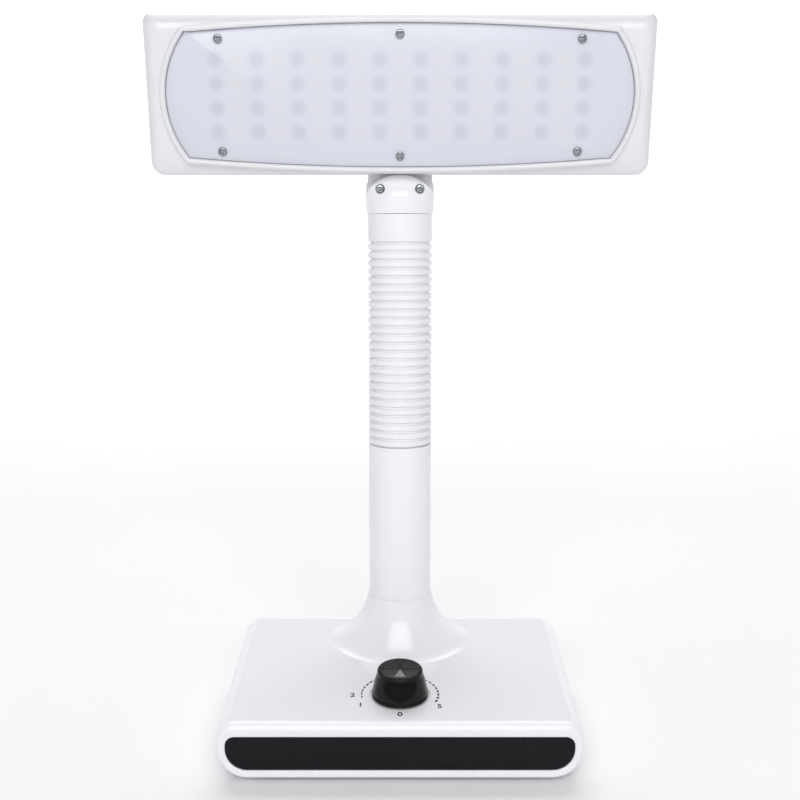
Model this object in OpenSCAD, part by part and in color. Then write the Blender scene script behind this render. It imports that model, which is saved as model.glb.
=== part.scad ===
// Free-standing desk lamp. A wedge-shaped base with a rotary dimmer carries a rigid lower tube,
// a ribbed flexible neck on a chain of ball links, and a wide flat head with rows of lights
// behind a diffuser. Millimetres, +Z up, front towards -Y, origin under the middle of the base.

/* [Base] */
// Width of the base
base_w = 190; // [176:1:220]
// Depth of the base from front to back
base_d = 132; // [124:1:150]
// Height of the sloped top where it meets the front face
front_h = 32.5; // [31:0.5:38]
// Rise of the top towards the back in degrees
top_slope = 5.7; // [4.5:0.1:8]
// Radius of the lower edges along the sides and the back
keel_r = 16; // [12:0.5:17]
// Radius of the upper edges along the sides and the back
top_edge_r = 9; // [7:0.5:10]
// Radius of the upper edge along the front
front_top_r = 4; // [2.5:0.5:5]
// Radius of the edge round the front face
front_edge_r = 2; // [1:0.25:3]
// Radius of the back corners seen from above
back_corner_r = 12; // [11:1:20]
// Wall of the base housing
base_wall = 3; // [2:0.25:3.5]
// Thickness of the bottom plate
plate_t = 2.5; // [2:0.25:4]
// Margin of the bottom plate inside the sides and the back
plate_margin = 18; // [17.5:0.5:24]
// Height of the rubber feet
foot_h = 2.2; // [1.5:0.1:4]
// Radius of the rubber feet
foot_r = 7; // [5:0.5:9]

/* [Front panel] */
// Width of the dark front panel
panel_w = 181; // [150:1:182]
// Height of the front panel
panel_h = 18.2; // [14:0.2:19]
// Height of the panel's lower edge above the table
panel_z = 7; // [6:0.25:9]
// Thickness of the front panel
panel_t = 2.5; // [1.5:0.25:3]
// Depth of the panel's face behind the front face
panel_inset = 0.5; // [0.2:0.1:1]

/* [Dimmer] */
// Distance of the knob's axis from the front face
knob_set = 30.5; // [28:0.5:38]
// Radius of the knob's skirt
knob_r = 15.25; // [14:0.25:17]
// Radius of the knob's top face
knob_top_r = 13; // [12:0.1:13.5]
// Height of the knob above the base's top
knob_h = 15.5; // [13:0.25:17]
// Number of broad finger facets round the knob
facets = 3; // [3:1:5]
// Depth of the facets at the knob's upper edge
facet_bite = 2; // [1:0.1:2.4]
// Radius of the dimmer's shaft
shaft_r = 3; // [2.5:0.1:3.2]
// Radius of the dimmer's can
can_r = 8.5; // [7.5:0.25:10]

/* [Tube] */
// Outer radius of the tube and of the ribs
tube_r = 18; // [17:0.25:19]
// Wall of the lower tube
tube_wall = 1.5; // [1:0.1:1.6]
// Distance of the tube's axis from the base's back
tube_back = 34; // [31:0.5:40]
// Height of the collar ring where the tube leaves the base
ring_z = 70.6; // [66:0.2:80]
// Height of the tube's upper end
tube_top = 160.5; // [140:0.5:180]
// Reach of the flared foot in front of the tube's axis
flare_front = 48; // [42:0.5:50]
// Reach of the flared foot beside the tube's axis
flare_side = 46; // [40:0.5:50]
// Reach of the flared foot behind the tube's axis
flare_back = 27; // [25:0.25:28]

/* [Flexible neck] */
// Pitch of the ribs
rib_pitch = 4.62; // [4.4:0.02:5]
// Depth of the grooves between ribs
rib_depth = 1.6; // [1:0.1:1.8]
// Width of the grooves
groove_w = 1.4; // [1.1:0.1:1.6]
// Wall of the sleeve under the grooves
sleeve_wall = 1.6; // [1.2:0.1:1.8]
// Radius of the link balls
ball_r = 6.5; // [6.2:0.1:6.6]
// Radius of the wire bore through the links
wire_bore_r = 2.6; // [2:0.1:3]
// Length of the plain collar above the ribs
collar_l = 16; // [12:0.5:24]

/* [Head] */
// Width of the head
head_w = 272; // [258:0.5:286]
// Height of the head along its face
head_h = 84.7; // [82:0.1:92]
// Depth of the head behind its rim
head_d = 28; // [26:0.5:34]
// Forward tilt of the head in degrees
head_tilt = 8; // [5:0.5:10]
// Gap between the neck's foot and the head's lowest edge
head_rise = 19.2; // [18.6:0.1:22]
// Distance of the rim plane in front of the tube's axis
head_reach = 28; // [26:0.5:30]
// Depth of the rounding round the head's front
front_dome = 8; // [6:0.5:9]
// Radius of the head's back edges
head_back_r = 9; // [5:0.5:11]
// Width of the rim between its corners
rim_corner_w = 230; // [210:1:236]
// Bulge of each end of the rim
rim_bulge = 12.6; // [8:0.2:14]
// Height of the rim at its middle
rim_h = 80; // [76:0.2:80.4]
// Crown of the rim's upper and lower edges
rim_crown = 5; // [3:0.2:7]
// Width of the rim bead
rim_w = 2.8; // [2:0.1:3.4]
// Height of the rim bead above the head's front
rim_lift = 2.5; // [1.5:0.1:3]
// Thickness of the diffuser
diffuser_t = 2.2; // [1.5:0.1:3]
// Depth of the diffuser's face behind the rim
diffuser_set = 3; // [2.2:0.1:3.6]
// Wall at the back of the head
head_wall = 2.5; // [2:0.25:3]
// Columns of cool lights
light_columns = 10; // [6:1:10]
// Rows of lights
light_rows = 4; // [2:1:4]
// Pitch of the light columns
column_pitch = 21.7; // [18:0.1:22]
// Pitch of the light rows
row_pitch = 12.5; // [10:0.1:13]

/* [Neck clamp] */
// Radius of the neck clamp at its widest
neck_r = 19.2; // [18.6:0.1:20]
// Height of the domed neck cap
cap_h = 21; // [20.4:0.1:21.6]
// Distance between the neck cap's two screws
cap_screw_span = 21.8; // [20:0.2:24]

/* [Fits] */
// Gap between moving pieces
run_gap = 0.3; // [0.2:0.05:0.4]
// Gap round pieces that slip together
slip_gap = 0.1; // [0.05:0.01:0.15]
// Radial gap of the turning shaft
shaft_gap = 0.05; // [0.03:0.01:0.08]

/* [Hidden] */
$fn = 64;
links = 11;
link_names = [for (i = [1:links]) str("link_", i)];
sleeve_names = [for (i = [1:links]) str("sleeve_", i)];

eps = 0.01;
white = [0.93, 0.93, 0.95];
steel = [0.62, 0.64, 0.66];
dark = [0.09, 0.09, 0.1];
board_green = [0.12, 0.34, 0.2];
wire_grey = [0.3, 0.3, 0.32];

front_y = -base_d / 2;
back_y = base_d / 2;
tube_y = back_y - tube_back;
knob_y = front_y + knob_set;
function top_z(y) = front_h + tan(top_slope) * (y - front_y);

// Inside of the base
plate_z = foot_h + plate_t;
ledge_z = foot_h + 10;
opening_w = base_w - 2 * plate_margin;
opening_front = front_y + 8;
opening_back = back_y - plate_margin;
panel_wall = panel_inset + panel_t + 2.5;
boss_r = 4.5;
boss_x = opening_w / 2 - 8;
boss_ys = [opening_front + 24, opening_back - 24];
screw_r = 1.5;
head_r = 2.7;
board_size = [48, 42, 1.6];
board_x = opening_w / 2 - board_size[0] / 2 - 15;
board_y = back_y - 33;
ballast_w = 110;
ballast_t = 8;
ballast_front = opening_front + 12;
ballast_back = board_y - board_size[1] / 2;
board_z = ledge_z + 1.5;
board_top = board_z + board_size[2];
post_r = 3;
post_spots = [for (sx = [-1, 1], sy = [-1, 1])
    [board_x + sx * (board_size[0] / 2 - 4), board_y + sy * (board_size[1] / 2 - 10)]];
socket_size = [9.5, 14, 11];
socket_r = 4.5;
socket_axis_z = board_top + 6.2;
socket_back = back_y - base_wall - 0.5;

// Dimmer, measured along its axis from the sloped top
recess_depth = 0.8;
recess_r = knob_r + 1.1;
can_h = 9;
bushing_r = shaft_r + 0.65;
bushing_h = 4;
hub_r = shaft_r + 2.2;
hub_z = bushing_h + 0.5;
shaft_top = knob_h - 2.4;
knob_foot = 0.2;
knob_wall = 2.2;
nut_h = 2.2;
dish = 0.6;
pointer_h = 0.7;
pointer_w = 6.4;
pointer_l = knob_top_r - facet_bite - 2.2;
facet_r = 20;
facet_foot = 3.2;

// Tube and flexible neck
tube_in_r = tube_r - tube_wall;
flange_t = 3.5;
flange_r = tube_r + 7;
flange_z = top_z(tube_y) - base_wall - flange_t - 3;
flange_screw_pcd = tube_r + 3.6;
flare_top = ring_z + 3;
flare_ring_r = tube_r + 0.6;
flare_bend = 1.5;
flare_steps = 10;
flare_sides = 48;
link_pitch = 2 * rib_pitch;
first_joint = tube_top + rib_pitch;
last_joint = first_joint + links * link_pitch;
ribs_top = last_joint + 2 * rib_pitch;
collar_top = ribs_top + collar_l;
groove_r = tube_r - rib_depth;
sleeve_bore_r = groove_r - sleeve_wall;
disc_r = sleeve_bore_r - run_gap;
socket_play = 0.1;
cup_r = ball_r + 2.1;
cup_lip = 1.6;
cup_roof = 3.7;
disc_low = 2.4;
disc_high = 5.4;
ball_crop = 2;
sleeve_gap = run_gap / 2;
spigot_l = 12;
rib_w = rib_pitch - groove_w;
rib_round = 0.8;

// Head and neck clamp
neck_z = collar_top + 0.2;
tenon_r = 9.5;
tenon_top = neck_z + 11;
lock_r = 12;
lock_z = neck_z + 6;
lock_h = 3;
barrel_curve = 60;
arch_r = 22.5;
cap_round_r = 26;
cap_round_back = 6;
cap_round_z = neck_z + 3;
cap_screw_seat = 12.4;
post_top = neck_z + 44;
cap_screw_z = neck_z + 13.2;
half_h = head_h / 2;
head_z = neck_z + head_rise + half_h * cos(head_tilt);
head_low_r = 7.5;
head_up_r = 5;
slab_t = 0.1;
rim_edge = 0.4;
lens_inset = rim_w;
ledge = 2.6;
seat_y = diffuser_set + diffuser_t;
inside_back = head_d - head_wall;
rim_half_w = rim_corner_w / 2 + rim_bulge;
rim_half_h = rim_h / 2;
corner_h = rim_half_h - rim_crown;
long_arc = (pow(rim_corner_w / 2, 2) + pow(rim_crown, 2)) / (2 * rim_crown);
end_arc = (pow(corner_h, 2) + pow(rim_bulge, 2)) / (2 * rim_bulge);
lens_screw_x = 95.8;
lens_screw_z = 29;
lens_screw_mid = 31.4;
lens_spots = concat(
    [for (sx = [-1, 1], sz = [-1, 1]) [sx * lens_screw_x, sz * lens_screw_z]],
    [for (sz = [-1, 1]) [0, sz * lens_screw_mid]]);
lens_screw_head = 2.4;
led_size = [225, 48, 1.2];
led_y = 14;
led_back = led_y + led_size[2];
led_spots = [for (sx = [-1, 0, 1]) sx * column_pitch * 4];
chip = [4, 1.2, 4];
neck_screw_x = 9;
neck_screw_z = -half_h + 13;
lead_r = 2;
lead_entry_z = -half_h + 17.4;

// Two-dimensional outlines

module round_rect(w, d, r) {
    square([w - 2 * r, d], center = true);
    square([w, d - 2 * r], center = true);
    for (sx = [-1, 1], sy = [-1, 1])
        translate([sx * (w / 2 - r), sy * (d / 2 - r)]) circle(r);
}

// Bar between heights z0 and z1 with its own radius for the lower and the upper corners
module bar_outline(half_w, z0, z1, r_low, r_up) {
    r_big = max(r_low, r_up);
    translate([-(half_w - r_big), z0]) square([2 * (half_w - r_big), z1 - z0]);
    translate([-(half_w - r_up), z0 + r_low]) square([2 * (half_w - r_up), z1 - z0 - r_low]);
    translate([-(half_w - r_low), z0]) square([2 * (half_w - r_low), z1 - z0 - r_up]);
    translate([-half_w, z0 + r_low]) square([2 * half_w, z1 - z0 - r_low - r_up]);
    for (s = [-1, 1]) {
        intersection() {
            translate([s * (half_w - r_low), z0 + r_low]) circle(r_low);
            translate([-half_w, z0]) square([2 * half_w, r_low]);
        }
        intersection() {
            translate([s * (half_w - r_up), z1 - r_up]) circle(r_up);
            translate([-half_w, z1 - r_up]) square([2 * half_w, r_up]);
        }
    }
}

// Discs at the four corners of a bar
module corner_discs(half_w, z0, z1, r_low, r_up) {
    for (s = [-1, 1]) {
        translate([s * (half_w - r_low), z0 + r_low]) circle(r_low);
        translate([s * (half_w - r_up), z1 - r_up]) circle(r_up);
    }
}

// Barrel-shaped outline of the head's rim, drawn in by inset
module lens_outline(inset) {
    intersection() {
        translate([0, rim_half_h - long_arc]) circle(long_arc - inset, $fn = 360);
        translate([0, long_arc - rim_half_h]) circle(long_arc - inset, $fn = 360);
        union() {
            square([2 * (rim_half_w - end_arc), head_h], center = true);
            for (s = [-1, 1]) translate([s * (rim_half_w - end_arc), 0]) circle(end_arc - inset, $fn = 180);
        }
    }
}

// Placement

module along_y(y0, y1) {
    translate([0, y1, 0]) rotate([90, 0, 0]) linear_extrude(y1 - y0) children();
}

module on_top(y) {
    translate([0, y, top_z(y)]) rotate([top_slope, 0, 0]) children();
}

module on_tube(z) {
    translate([0, tube_y, z]) children();
}

module in_head() {
    translate([0, tube_y - head_reach, head_z]) rotate([head_tilt, 0, 0]) children();
}

module joint_at(i) {
    on_tube(first_joint + (i - 1) * link_pitch) children();
}

module straight_wire(from, to, r) {
    run = to - from;
    span = norm(run);
    translate(from) rotate([0, acos(run[2] / span), atan2(run[1], run[0])])
        cylinder(h = span, r = r, $fn = 48);
}

// Round wire through a list of points
module wire(points, r) {
    for (i = [0:len(points) - 2]) straight_wire(points[i], points[i + 1], r);
    for (i = [1:len(points) - 2]) translate(points[i]) rotate([25, 40, 15]) sphere(r * 1.2, $fn = 48);
}

module pan_screw(shank_l, shank_r, cap_r, cap_t) {
    cylinder(h = shank_l, r = shank_r, $fn = 32);
    translate([0, 0, -cap_t]) difference() {
        cylinder(h = cap_t, r = cap_r, $fn = 48);
        for (a = [0, 90]) rotate(a) translate([-cap_r * 0.6, -0.3, -eps])
            cube([cap_r * 1.2, 0.6, cap_t * 0.5]);
    }
}

// Base

module keel_corner() {
    r = min(keel_r, back_corner_r - 1);
    intersection() {
        union() {
            translate([back_corner_r - r, foot_h + r]) circle(r);
            translate([0, foot_h]) square([back_corner_r - r, r]);
        }
        translate([0, foot_h]) square([back_corner_r, r]);
    }
}

// Flat round disc with a rounded rim
module rounded_disc(outer, r) {
    rotate_extrude($fn = 40) intersection() {
        translate([outer - r, 0]) circle(r, $fn = 32);
        translate([0, -r]) square([outer, 2 * r]);
    }
}

// Centre of an upper edge's rounding
module under_top(x, y) {
    translate([x, y, top_z(y) - top_edge_r / cos(top_slope)]) children();
}

module base_skin() {
    side_top = front_h - top_edge_r;
    hull($fn = 40) {
        along_y(front_y, front_y + 0.2)
            corner_discs(base_w / 2 - front_edge_r, foot_h + front_edge_r, side_top,
                keel_r - front_edge_r, 1, $fn = 40);
        along_y(front_y + front_edge_r, front_y + front_edge_r + 1)
            corner_discs(base_w / 2, foot_h, side_top, keel_r, 1, $fn = 40);
        for (s = [-1, 1]) {
            under_top(s * (base_w / 2 - top_edge_r), front_y + front_top_r)
                rotate([90, 0, 0]) rounded_disc(top_edge_r, front_top_r);
            under_top(s * (base_w / 2 - back_corner_r), back_y - back_corner_r)
                rotate([top_slope, 0, 0]) rounded_disc(back_corner_r, top_edge_r);
            translate([s * (base_w / 2 - back_corner_r), back_y - back_corner_r, 0])
                rotate_extrude($fn = 40) keel_corner($fn = 40);
        }
    }
}

// Foot reach of the flare at an angle from the front
function flare_reach(a) =
    let(ahead = cos(a) > 0 ? flare_front : flare_back)
    1 / sqrt(pow(sin(a) / flare_side, 2) + pow(cos(a) / ahead, 2));

// Point of the flare: t runs from 0 at the foot to 90 at the upright top
function flare_point(a, t) =
    let(
        r = flare_reach(a) - (flare_reach(a) - flare_ring_r) * pow(sin(t), flare_bend),
        x = r * sin(a),
        y = tube_y - r * cos(a),
        foot = top_z(y) - 0.1)
    [x, y, foot + (flare_top - foot) * (1 - cos(t))];

module flare() {
    rows = [for (k = [0:flare_steps]) 90 * k / flare_steps];
    sides = [for (m = [0:flare_sides - 1]) 360 * m / flare_sides];
    skirt = [for (a = sides) let(p = flare_point(a, 0)) [p[0], p[1], p[2] - base_wall / 2]];
    shell = [for (t = rows, a = sides) flare_point(a, t)];
    points = concat(skirt, shell);
    count = len(rows) + 1;
    function at(k, m) = k * flare_sides + m % flare_sides;
    walls = [for (k = [0:count - 2], m = [0:flare_sides - 1], half = [0, 1])
        half == 0 ? [at(k, m), at(k + 1, m), at(k + 1, m + 1)]
                  : [at(k, m), at(k + 1, m + 1), at(k, m + 1)]];
    floor_face = [[for (m = [0:flare_sides - 1]) m]];
    roof_face = [[for (m = [flare_sides - 1:-1:0]) at(count - 1, m)]];
    intersection() {
        polyhedron(points, concat(walls, floor_face, roof_face));
        on_tube(0) cylinder(h = ring_z, r = flare_front + 10);
    }
}

module base_cavity() {
    intersection() {
        on_top(front_y) rotate([90, 0, 180]) translate([0, 0, panel_wall])
            linear_extrude(base_d * 1.1)
            bar_outline(base_w / 2 - base_wall, -60, -base_wall, 1, top_edge_r - base_wall);
        translate([0, panel_wall / 2 - base_wall / 2, ledge_z]) linear_extrude(60)
            round_rect(base_w - 2 * base_wall, base_d - panel_wall - base_wall,
                back_corner_r - base_wall);
    }
    translate([0, (opening_front + opening_back) / 2, 0]) linear_extrude(ledge_z + eps)
        round_rect(opening_w, opening_back - opening_front, 6);
}

module base_housing() {
    color(white) {
        difference() {
            union() {
                base_skin();
                flare();
            }
            difference() {
                base_cavity();
                on_tube(flange_z + flange_t) cylinder(h = 30, r = flange_r + 2);
                for (sx = [-1, 1], y = boss_ys)
                    translate([sx * boss_x, y, plate_z]) cylinder(h = 60, r = boss_r);
            }
            on_tube(flange_z) cylinder(h = 100, r = tube_r + slip_gap);
            for (a = [60, 180, 300]) on_tube(flange_z) rotate(a)
                translate([0, -flange_screw_pcd, 0]) cylinder(h = flange_t + 5, r = screw_r);
            for (sx = [-1, 1], y = boss_ys)
                translate([sx * boss_x, y, 0]) cylinder(h = plate_z + 9, r = screw_r);
            on_top(knob_y) {
                translate([0, 0, -recess_depth]) cylinder(h = 4, r = recess_r);
                translate([0, 0, -base_wall - 1]) cylinder(h = 10, r = bushing_r + slip_gap);
            }
            along_y(front_y - 1, front_y + panel_inset + panel_t)
                panel_outline(slip_gap);
            translate([board_x, back_y + 1, socket_axis_z]) rotate([90, 0, 0])
                cylinder(h = base_wall + 3, r = socket_r + 2 * slip_gap);
        }
    }
}

module panel_outline(grow) {
    bar_outline(panel_w / 2 + grow, panel_z - grow, panel_z + panel_h + grow,
        keel_r - 4.5, 5);
}

module front_panel() {
    color(dark) along_y(front_y + panel_inset, front_y + panel_inset + panel_t) panel_outline(0);
}

foot_spots = [for (sx = [-1, 1], y = [opening_front + 11, opening_back - 11])
    [sx * (opening_w / 2 - 11), y]];

module bottom_plate() {
    color(white) {
        difference() {
            translate([0, (opening_front + opening_back) / 2, foot_h]) linear_extrude(plate_t)
                round_rect(opening_w - 2 * run_gap, opening_back - opening_front - 2 * run_gap,
                    6 - run_gap);
            for (sx = [-1, 1], y = boss_ys) translate([sx * boss_x, y, 0]) {
                cylinder(h = plate_z + 1, r = screw_r + slip_gap);
                cylinder(h = foot_h + 1, r = head_r + run_gap);
            }
            for (p = foot_spots) translate([p[0], p[1], 0])
                cylinder(h = plate_z + 1, r = foot_r / 2 + slip_gap);
        }
        for (p = post_spots) translate([p[0], p[1], plate_z - eps]) difference() {
            cylinder(h = board_z - plate_z + eps, r = post_r);
            translate([0, 0, 1]) cylinder(h = board_z, r = screw_r - 0.3);
        }
    }
}

module rubber_feet() {
    color(dark) for (p = foot_spots) translate([p[0], p[1], 0]) {
        cylinder(h = foot_h, r = foot_r);
        cylinder(h = foot_h + plate_t, r = foot_r / 2);
    }
}

module base_screws() {
    color(steel) for (sx = [-1, 1], y = boss_ys)
        translate([sx * boss_x, y, foot_h + 1]) pan_screw(plate_t + 7, screw_r, head_r, 0.95);
}

module ballast() {
    color(steel) translate([0, (ballast_front + ballast_back) / 2, plate_z]) linear_extrude(ballast_t)
        round_rect(ballast_w, ballast_back - ballast_front, 4);
}

module driver_board() {
    color(board_green) translate([board_x, board_y, board_z]) difference() {
        linear_extrude(board_size[2]) round_rect(board_size[0], board_size[1], 1);
        for (p = post_spots) translate([p[0] - board_x, p[1] - board_y, -1])
            cylinder(h = 4, r = screw_r - 0.3 + slip_gap);
    }
}

module board_parts() {
    low = [board_x, board_y, board_top];
    color(dark) {
        translate(low + [-11, -4, 0]) cylinder(h = 11, r = 4);
        translate(low + [0, -4, 0]) cylinder(h = 9, r = 3.2);
        translate(low + [12, -6, 3]) cube([10, 10, 6], center = true);
        translate(low + [-4, 8, 0.8]) cube([6, 5, 1.6], center = true);
        translate(low + [-17, 4, 2.5]) cube([5, 8, 5], center = true);
        translate(low + [-6, -15, 2.5]) cube([10, 5, 5], center = true);
    }
}

module board_screws() {
    color(steel) for (p = post_spots) translate([p[0], p[1], board_top])
        mirror([0, 0, 1]) pan_screw(7, screw_r - 0.3, 2.2, 1.4);
}

// Inlet for a supply plug: a round nose in the back wall with a bore and a centre pin
module dc_socket() {
    mouth = back_y - 0.4;
    color(dark) difference() {
        union() {
            translate([board_x - socket_size[0] / 2, socket_back - socket_size[1], board_top])
                cube(socket_size);
            translate([board_x, mouth, socket_axis_z]) rotate([90, 0, 0])
                cylinder(h = mouth - socket_back + 2, r = socket_r);
        }
        translate([board_x, mouth + 1, socket_axis_z]) rotate([90, 0, 0])
            cylinder(h = 11, r = 2.9);
    }
    color(steel) translate([board_x, mouth - 1.5, socket_axis_z]) rotate([90, 0, 0])
        cylinder(h = 10, r = 1);
}

module pot_body() {
    color(steel) on_top(knob_y) difference() {
        union() {
            translate([0, 0, -base_wall - can_h]) cylinder(h = can_h, r = can_r);
            translate([0, 0, -base_wall - 1]) cylinder(h = base_wall + 1 + bushing_h, r = bushing_r);
            translate([-5, can_r - 2, -base_wall - can_h]) cube([10, 7, 1.6]);
        }
        translate([0, 0, -base_wall - can_h + 2])
            cylinder(h = 40, r = shaft_r + shaft_gap);
    }
}

module pot_washer() {
    color(steel) on_top(knob_y) translate([0, 0, -recess_depth]) difference() {
        cylinder(h = 0.8, r = bushing_r + 3);
        translate([0, 0, -1]) cylinder(h = 3, r = bushing_r + slip_gap);
    }
}

module pot_nut() {
    color(steel) on_top(knob_y) translate([0, 0, 0.8 - recess_depth]) difference() {
        cylinder(h = nut_h, r = bushing_r + 2.2, $fn = 6);
        translate([0, 0, -1]) cylinder(h = nut_h + 2, r = bushing_r + slip_gap);
    }
}

module pot_leads() {
    start = [0, knob_y + can_r + 2, top_z(knob_y) - base_wall - can_h - 0.1];
    finish = [board_x - 6, board_y - 17, board_top + 6];
    color(wire_grey) for (k = [-1, 0, 1]) {
        side = [k * 3, 0, 0];
        straight_wire(start + side, finish + side, 0.8);
    }
}

module pot_shaft() {
    color(steel) on_top(knob_y) translate([0, 0, -base_wall - can_h + 2.5])
        cylinder(h = base_wall + can_h - 2.5 + shaft_top, r = shaft_r);
}

// Knob: a tapered cap with broad leaning facets, a thin skirt lip and a dished top
module knob_body() {
    rotate_extrude() {
        difference() {
            union() {
                polygon([[0, knob_foot], [knob_r, knob_foot], [knob_r, knob_foot + 1.2],
                    [knob_r - 0.6, knob_foot + 1.8], [knob_top_r + 0.2, knob_h - 1.4],
                    [knob_top_r - 1.2, knob_h - 1.4], [knob_top_r - 1.2, knob_h], [0, knob_h]]);
                translate([knob_top_r - 1.2, knob_h - 1.4]) intersection() {
                    circle(1.4);
                    square(1.4);
                }
            }
            translate([0, knob_h + 100 - dish]) intersection() {
                circle(100, $fn = 360);
                translate([0, -101]) square([knob_top_r - 1.2, 5]);
            }
        }
    }
}

// Each facet is part of a wide leaning cylinder that fades out above the skirt
module knob_facets() {
    top_reach = knob_top_r - facet_bite;
    lean = atan((knob_r - 0.6 - top_reach) / (knob_h - facet_foot));
    intersection_for (k = [0:facets - 1]) rotate(k * 360 / facets)
        translate([0, facet_r / cos(lean) - top_reach, knob_h]) rotate([-lean, 0, 0])
        cylinder(h = 8 * knob_h, r = facet_r, center = true, $fn = 180);
}

module knob() {
    color(dark) on_top(knob_y) difference() {
        intersection() {
            knob_body();
            knob_facets();
        }
        translate([0, 0, -1]) difference() {
            cylinder(h = knob_h - 2.8, r = knob_top_r - knob_wall - 0.4);
            translate([0, 0, hub_z + 1]) cylinder(h = 30, r = hub_r);
        }
        translate([0, 0, -1]) cylinder(h = shaft_top + 1, r = shaft_r);
        pointer_shape(pointer_h);
    }
}

module pointer_shape(depth) {
    translate([0, 0, knob_h - dish - depth]) linear_extrude(depth)
        polygon([[0, 0], [-pointer_w / 2, -pointer_l], [pointer_w / 2, -pointer_l]]);
}

module knob_pointer() {
    color(wire_grey) on_top(knob_y) pointer_shape(pointer_h);
}

// Tube

module lower_tube() {
    color(white) on_tube(flange_z) difference() {
        cylinder(h = tube_top - flange_z, r = tube_r);
        translate([0, 0, -1]) cylinder(h = tube_top, r = tube_in_r);
    }
}

module tube_flange() {
    color(steel) on_tube(flange_z) difference() {
        cylinder(h = flange_t, r = flange_r);
        translate([0, 0, -1]) cylinder(h = 10, r = tube_r + slip_gap);
        for (a = [60, 180, 300]) rotate(a) translate([0, -flange_screw_pcd, -1])
            cylinder(h = 10, r = screw_r + slip_gap);
    }
}

module flange_screws() {
    color(steel) for (a = [60, 180, 300]) on_tube(flange_z) rotate(a)
        translate([0, -flange_screw_pcd, 0]) pan_screw(flange_t + 4, screw_r, head_r, 1.6);
}

module base_lead() {
    start = [board_x - 17, board_y + 4, board_top + 5];
    color(wire_grey) wire([start, start + [0, 0, 4], [0, tube_y, flange_z + 4],
        [0, tube_y, tube_top - 10]], lead_r);
}

// Links of the flexible neck

module link_ball(crop_low) {
    intersection() {
        sphere(ball_r);
        translate([0, 0, -crop_low]) cylinder(h = crop_low + ball_crop, r = ball_r + 1);
    }
}

module link_socket() {
    intersection() {
        sphere(ball_r + socket_play);
        translate([0, 0, -ball_r - 1]) cylinder(h = ball_r + 1 + cup_roof, r = ball_r + 1);
    }
}

module link_cup() {
    translate([0, 0, -cup_lip]) cylinder(h = cup_lip + disc_low + eps, r = cup_r);
}

module link_body() {
    difference() {
        union() {
            link_cup();
            translate([0, 0, disc_low]) cylinder(h = disc_high - disc_low, r = disc_r);
            translate([0, 0, link_pitch]) link_ball(link_pitch - disc_high + eps);
        }
        link_socket();
        cylinder(h = 2 * link_pitch, r = wire_bore_r);
    }
}

module link_piece(i) {
    color(steel) joint_at(i) link_body();
}

module lower_fitting() {
    color(steel) difference() {
        union() {
            on_tube(tube_top - spigot_l - 8) cylinder(h = 7.5, r = tube_in_r - slip_gap);
            on_tube(tube_top - spigot_l - 1) cylinder(h = spigot_l, r = disc_r);
            joint_at(1) link_ball(rib_pitch + 1 + eps);
        }
        on_tube(tube_top - spigot_l - 10) cylinder(h = 50, r = wire_bore_r);
    }
}

module upper_fitting() {
    start = last_joint + disc_low;
    color(steel) difference() {
        union() {
            on_tube(last_joint) link_cup();
            on_tube(start) cylinder(h = collar_top - 1 - start, r = disc_r);
            on_tube(collar_top - 2) cylinder(h = tenon_top - collar_top + 2, r = tenon_r);
            on_tube(lock_z) cylinder(h = lock_h, r = lock_r);
        }
        on_tube(last_joint) link_socket();
        on_tube(last_joint) cylinder(h = 80, r = wire_bore_r);
    }
}

// Sleeve: a plain inner wall with rounded ribs, z0 and z1 are its ends, spots its rib centres

module rib_outline(z) {
    inner = groove_r - 0.4;
    translate([inner, z - rib_w / 2]) square([tube_r - rib_round - inner, rib_w]);
    translate([inner, z - rib_w / 2 + rib_round])
        square([tube_r - inner, rib_w - 2 * rib_round]);
    for (s = [-1, 1])
        translate([tube_r - rib_round, z + s * (rib_w / 2 - rib_round)]) circle(rib_round, $fn = 24);
}

module sleeve_profile(z0, z1, spots) {
    translate([sleeve_bore_r, z0]) square([sleeve_wall, z1 - z0]);
    for (z = spots) rib_outline(z);
}

module sleeve_piece(i) {
    color(white) joint_at(i) rotate_extrude()
        sleeve_profile(sleeve_gap, link_pitch - sleeve_gap, [rib_pitch / 2, rib_pitch * 1.5]);
}

module sleeve_lower_end() {
    color(white) on_tube(tube_top) rotate_extrude() {
        sleeve_profile(-spigot_l, rib_pitch - sleeve_gap, [rib_pitch / 2]);
    }
}

module sleeve_upper_end() {
    collar_z = 2 * rib_pitch + groove_w / 2;
    color(white) on_tube(last_joint) rotate_extrude() {
        sleeve_profile(sleeve_gap, 2 * rib_pitch + collar_l, [rib_pitch / 2, rib_pitch * 1.5]);
        translate([sleeve_bore_r, collar_z + rib_round])
            square([tube_r - sleeve_bore_r, collar_l - groove_w / 2 - rib_round]);
        translate([sleeve_bore_r, collar_z])
            square([tube_r - rib_round - sleeve_bore_r, collar_l - groove_w / 2]);
        translate([tube_r - rib_round, collar_z + rib_round]) circle(rib_round, $fn = 24);
    }
}

// Neck clamp: a rear half with a post behind the head, and a front cap with an arched, domed top

module neck_barrel() {
    rotate_extrude() intersection() {
        translate([neck_r - barrel_curve, neck_z + 9]) circle(barrel_curve, $fn = 180);
        translate([0, neck_z]) square([neck_r + 1, cap_h + 2]);
    }
}

module tenon_room() {
    translate([0, 0, neck_z - 1]) cylinder(h = tenon_top - neck_z + 1.3, r = tenon_r + slip_gap);
    translate([0, 0, lock_z - slip_gap]) cylinder(h = lock_h + 2 * slip_gap, r = lock_r + slip_gap);
}

module cap_screw_spots() {
    for (s = [-1, 1]) translate([s * cap_screw_span / 2, 0, cap_screw_z]) rotate([-90, 0, 0]) children();
}

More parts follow.
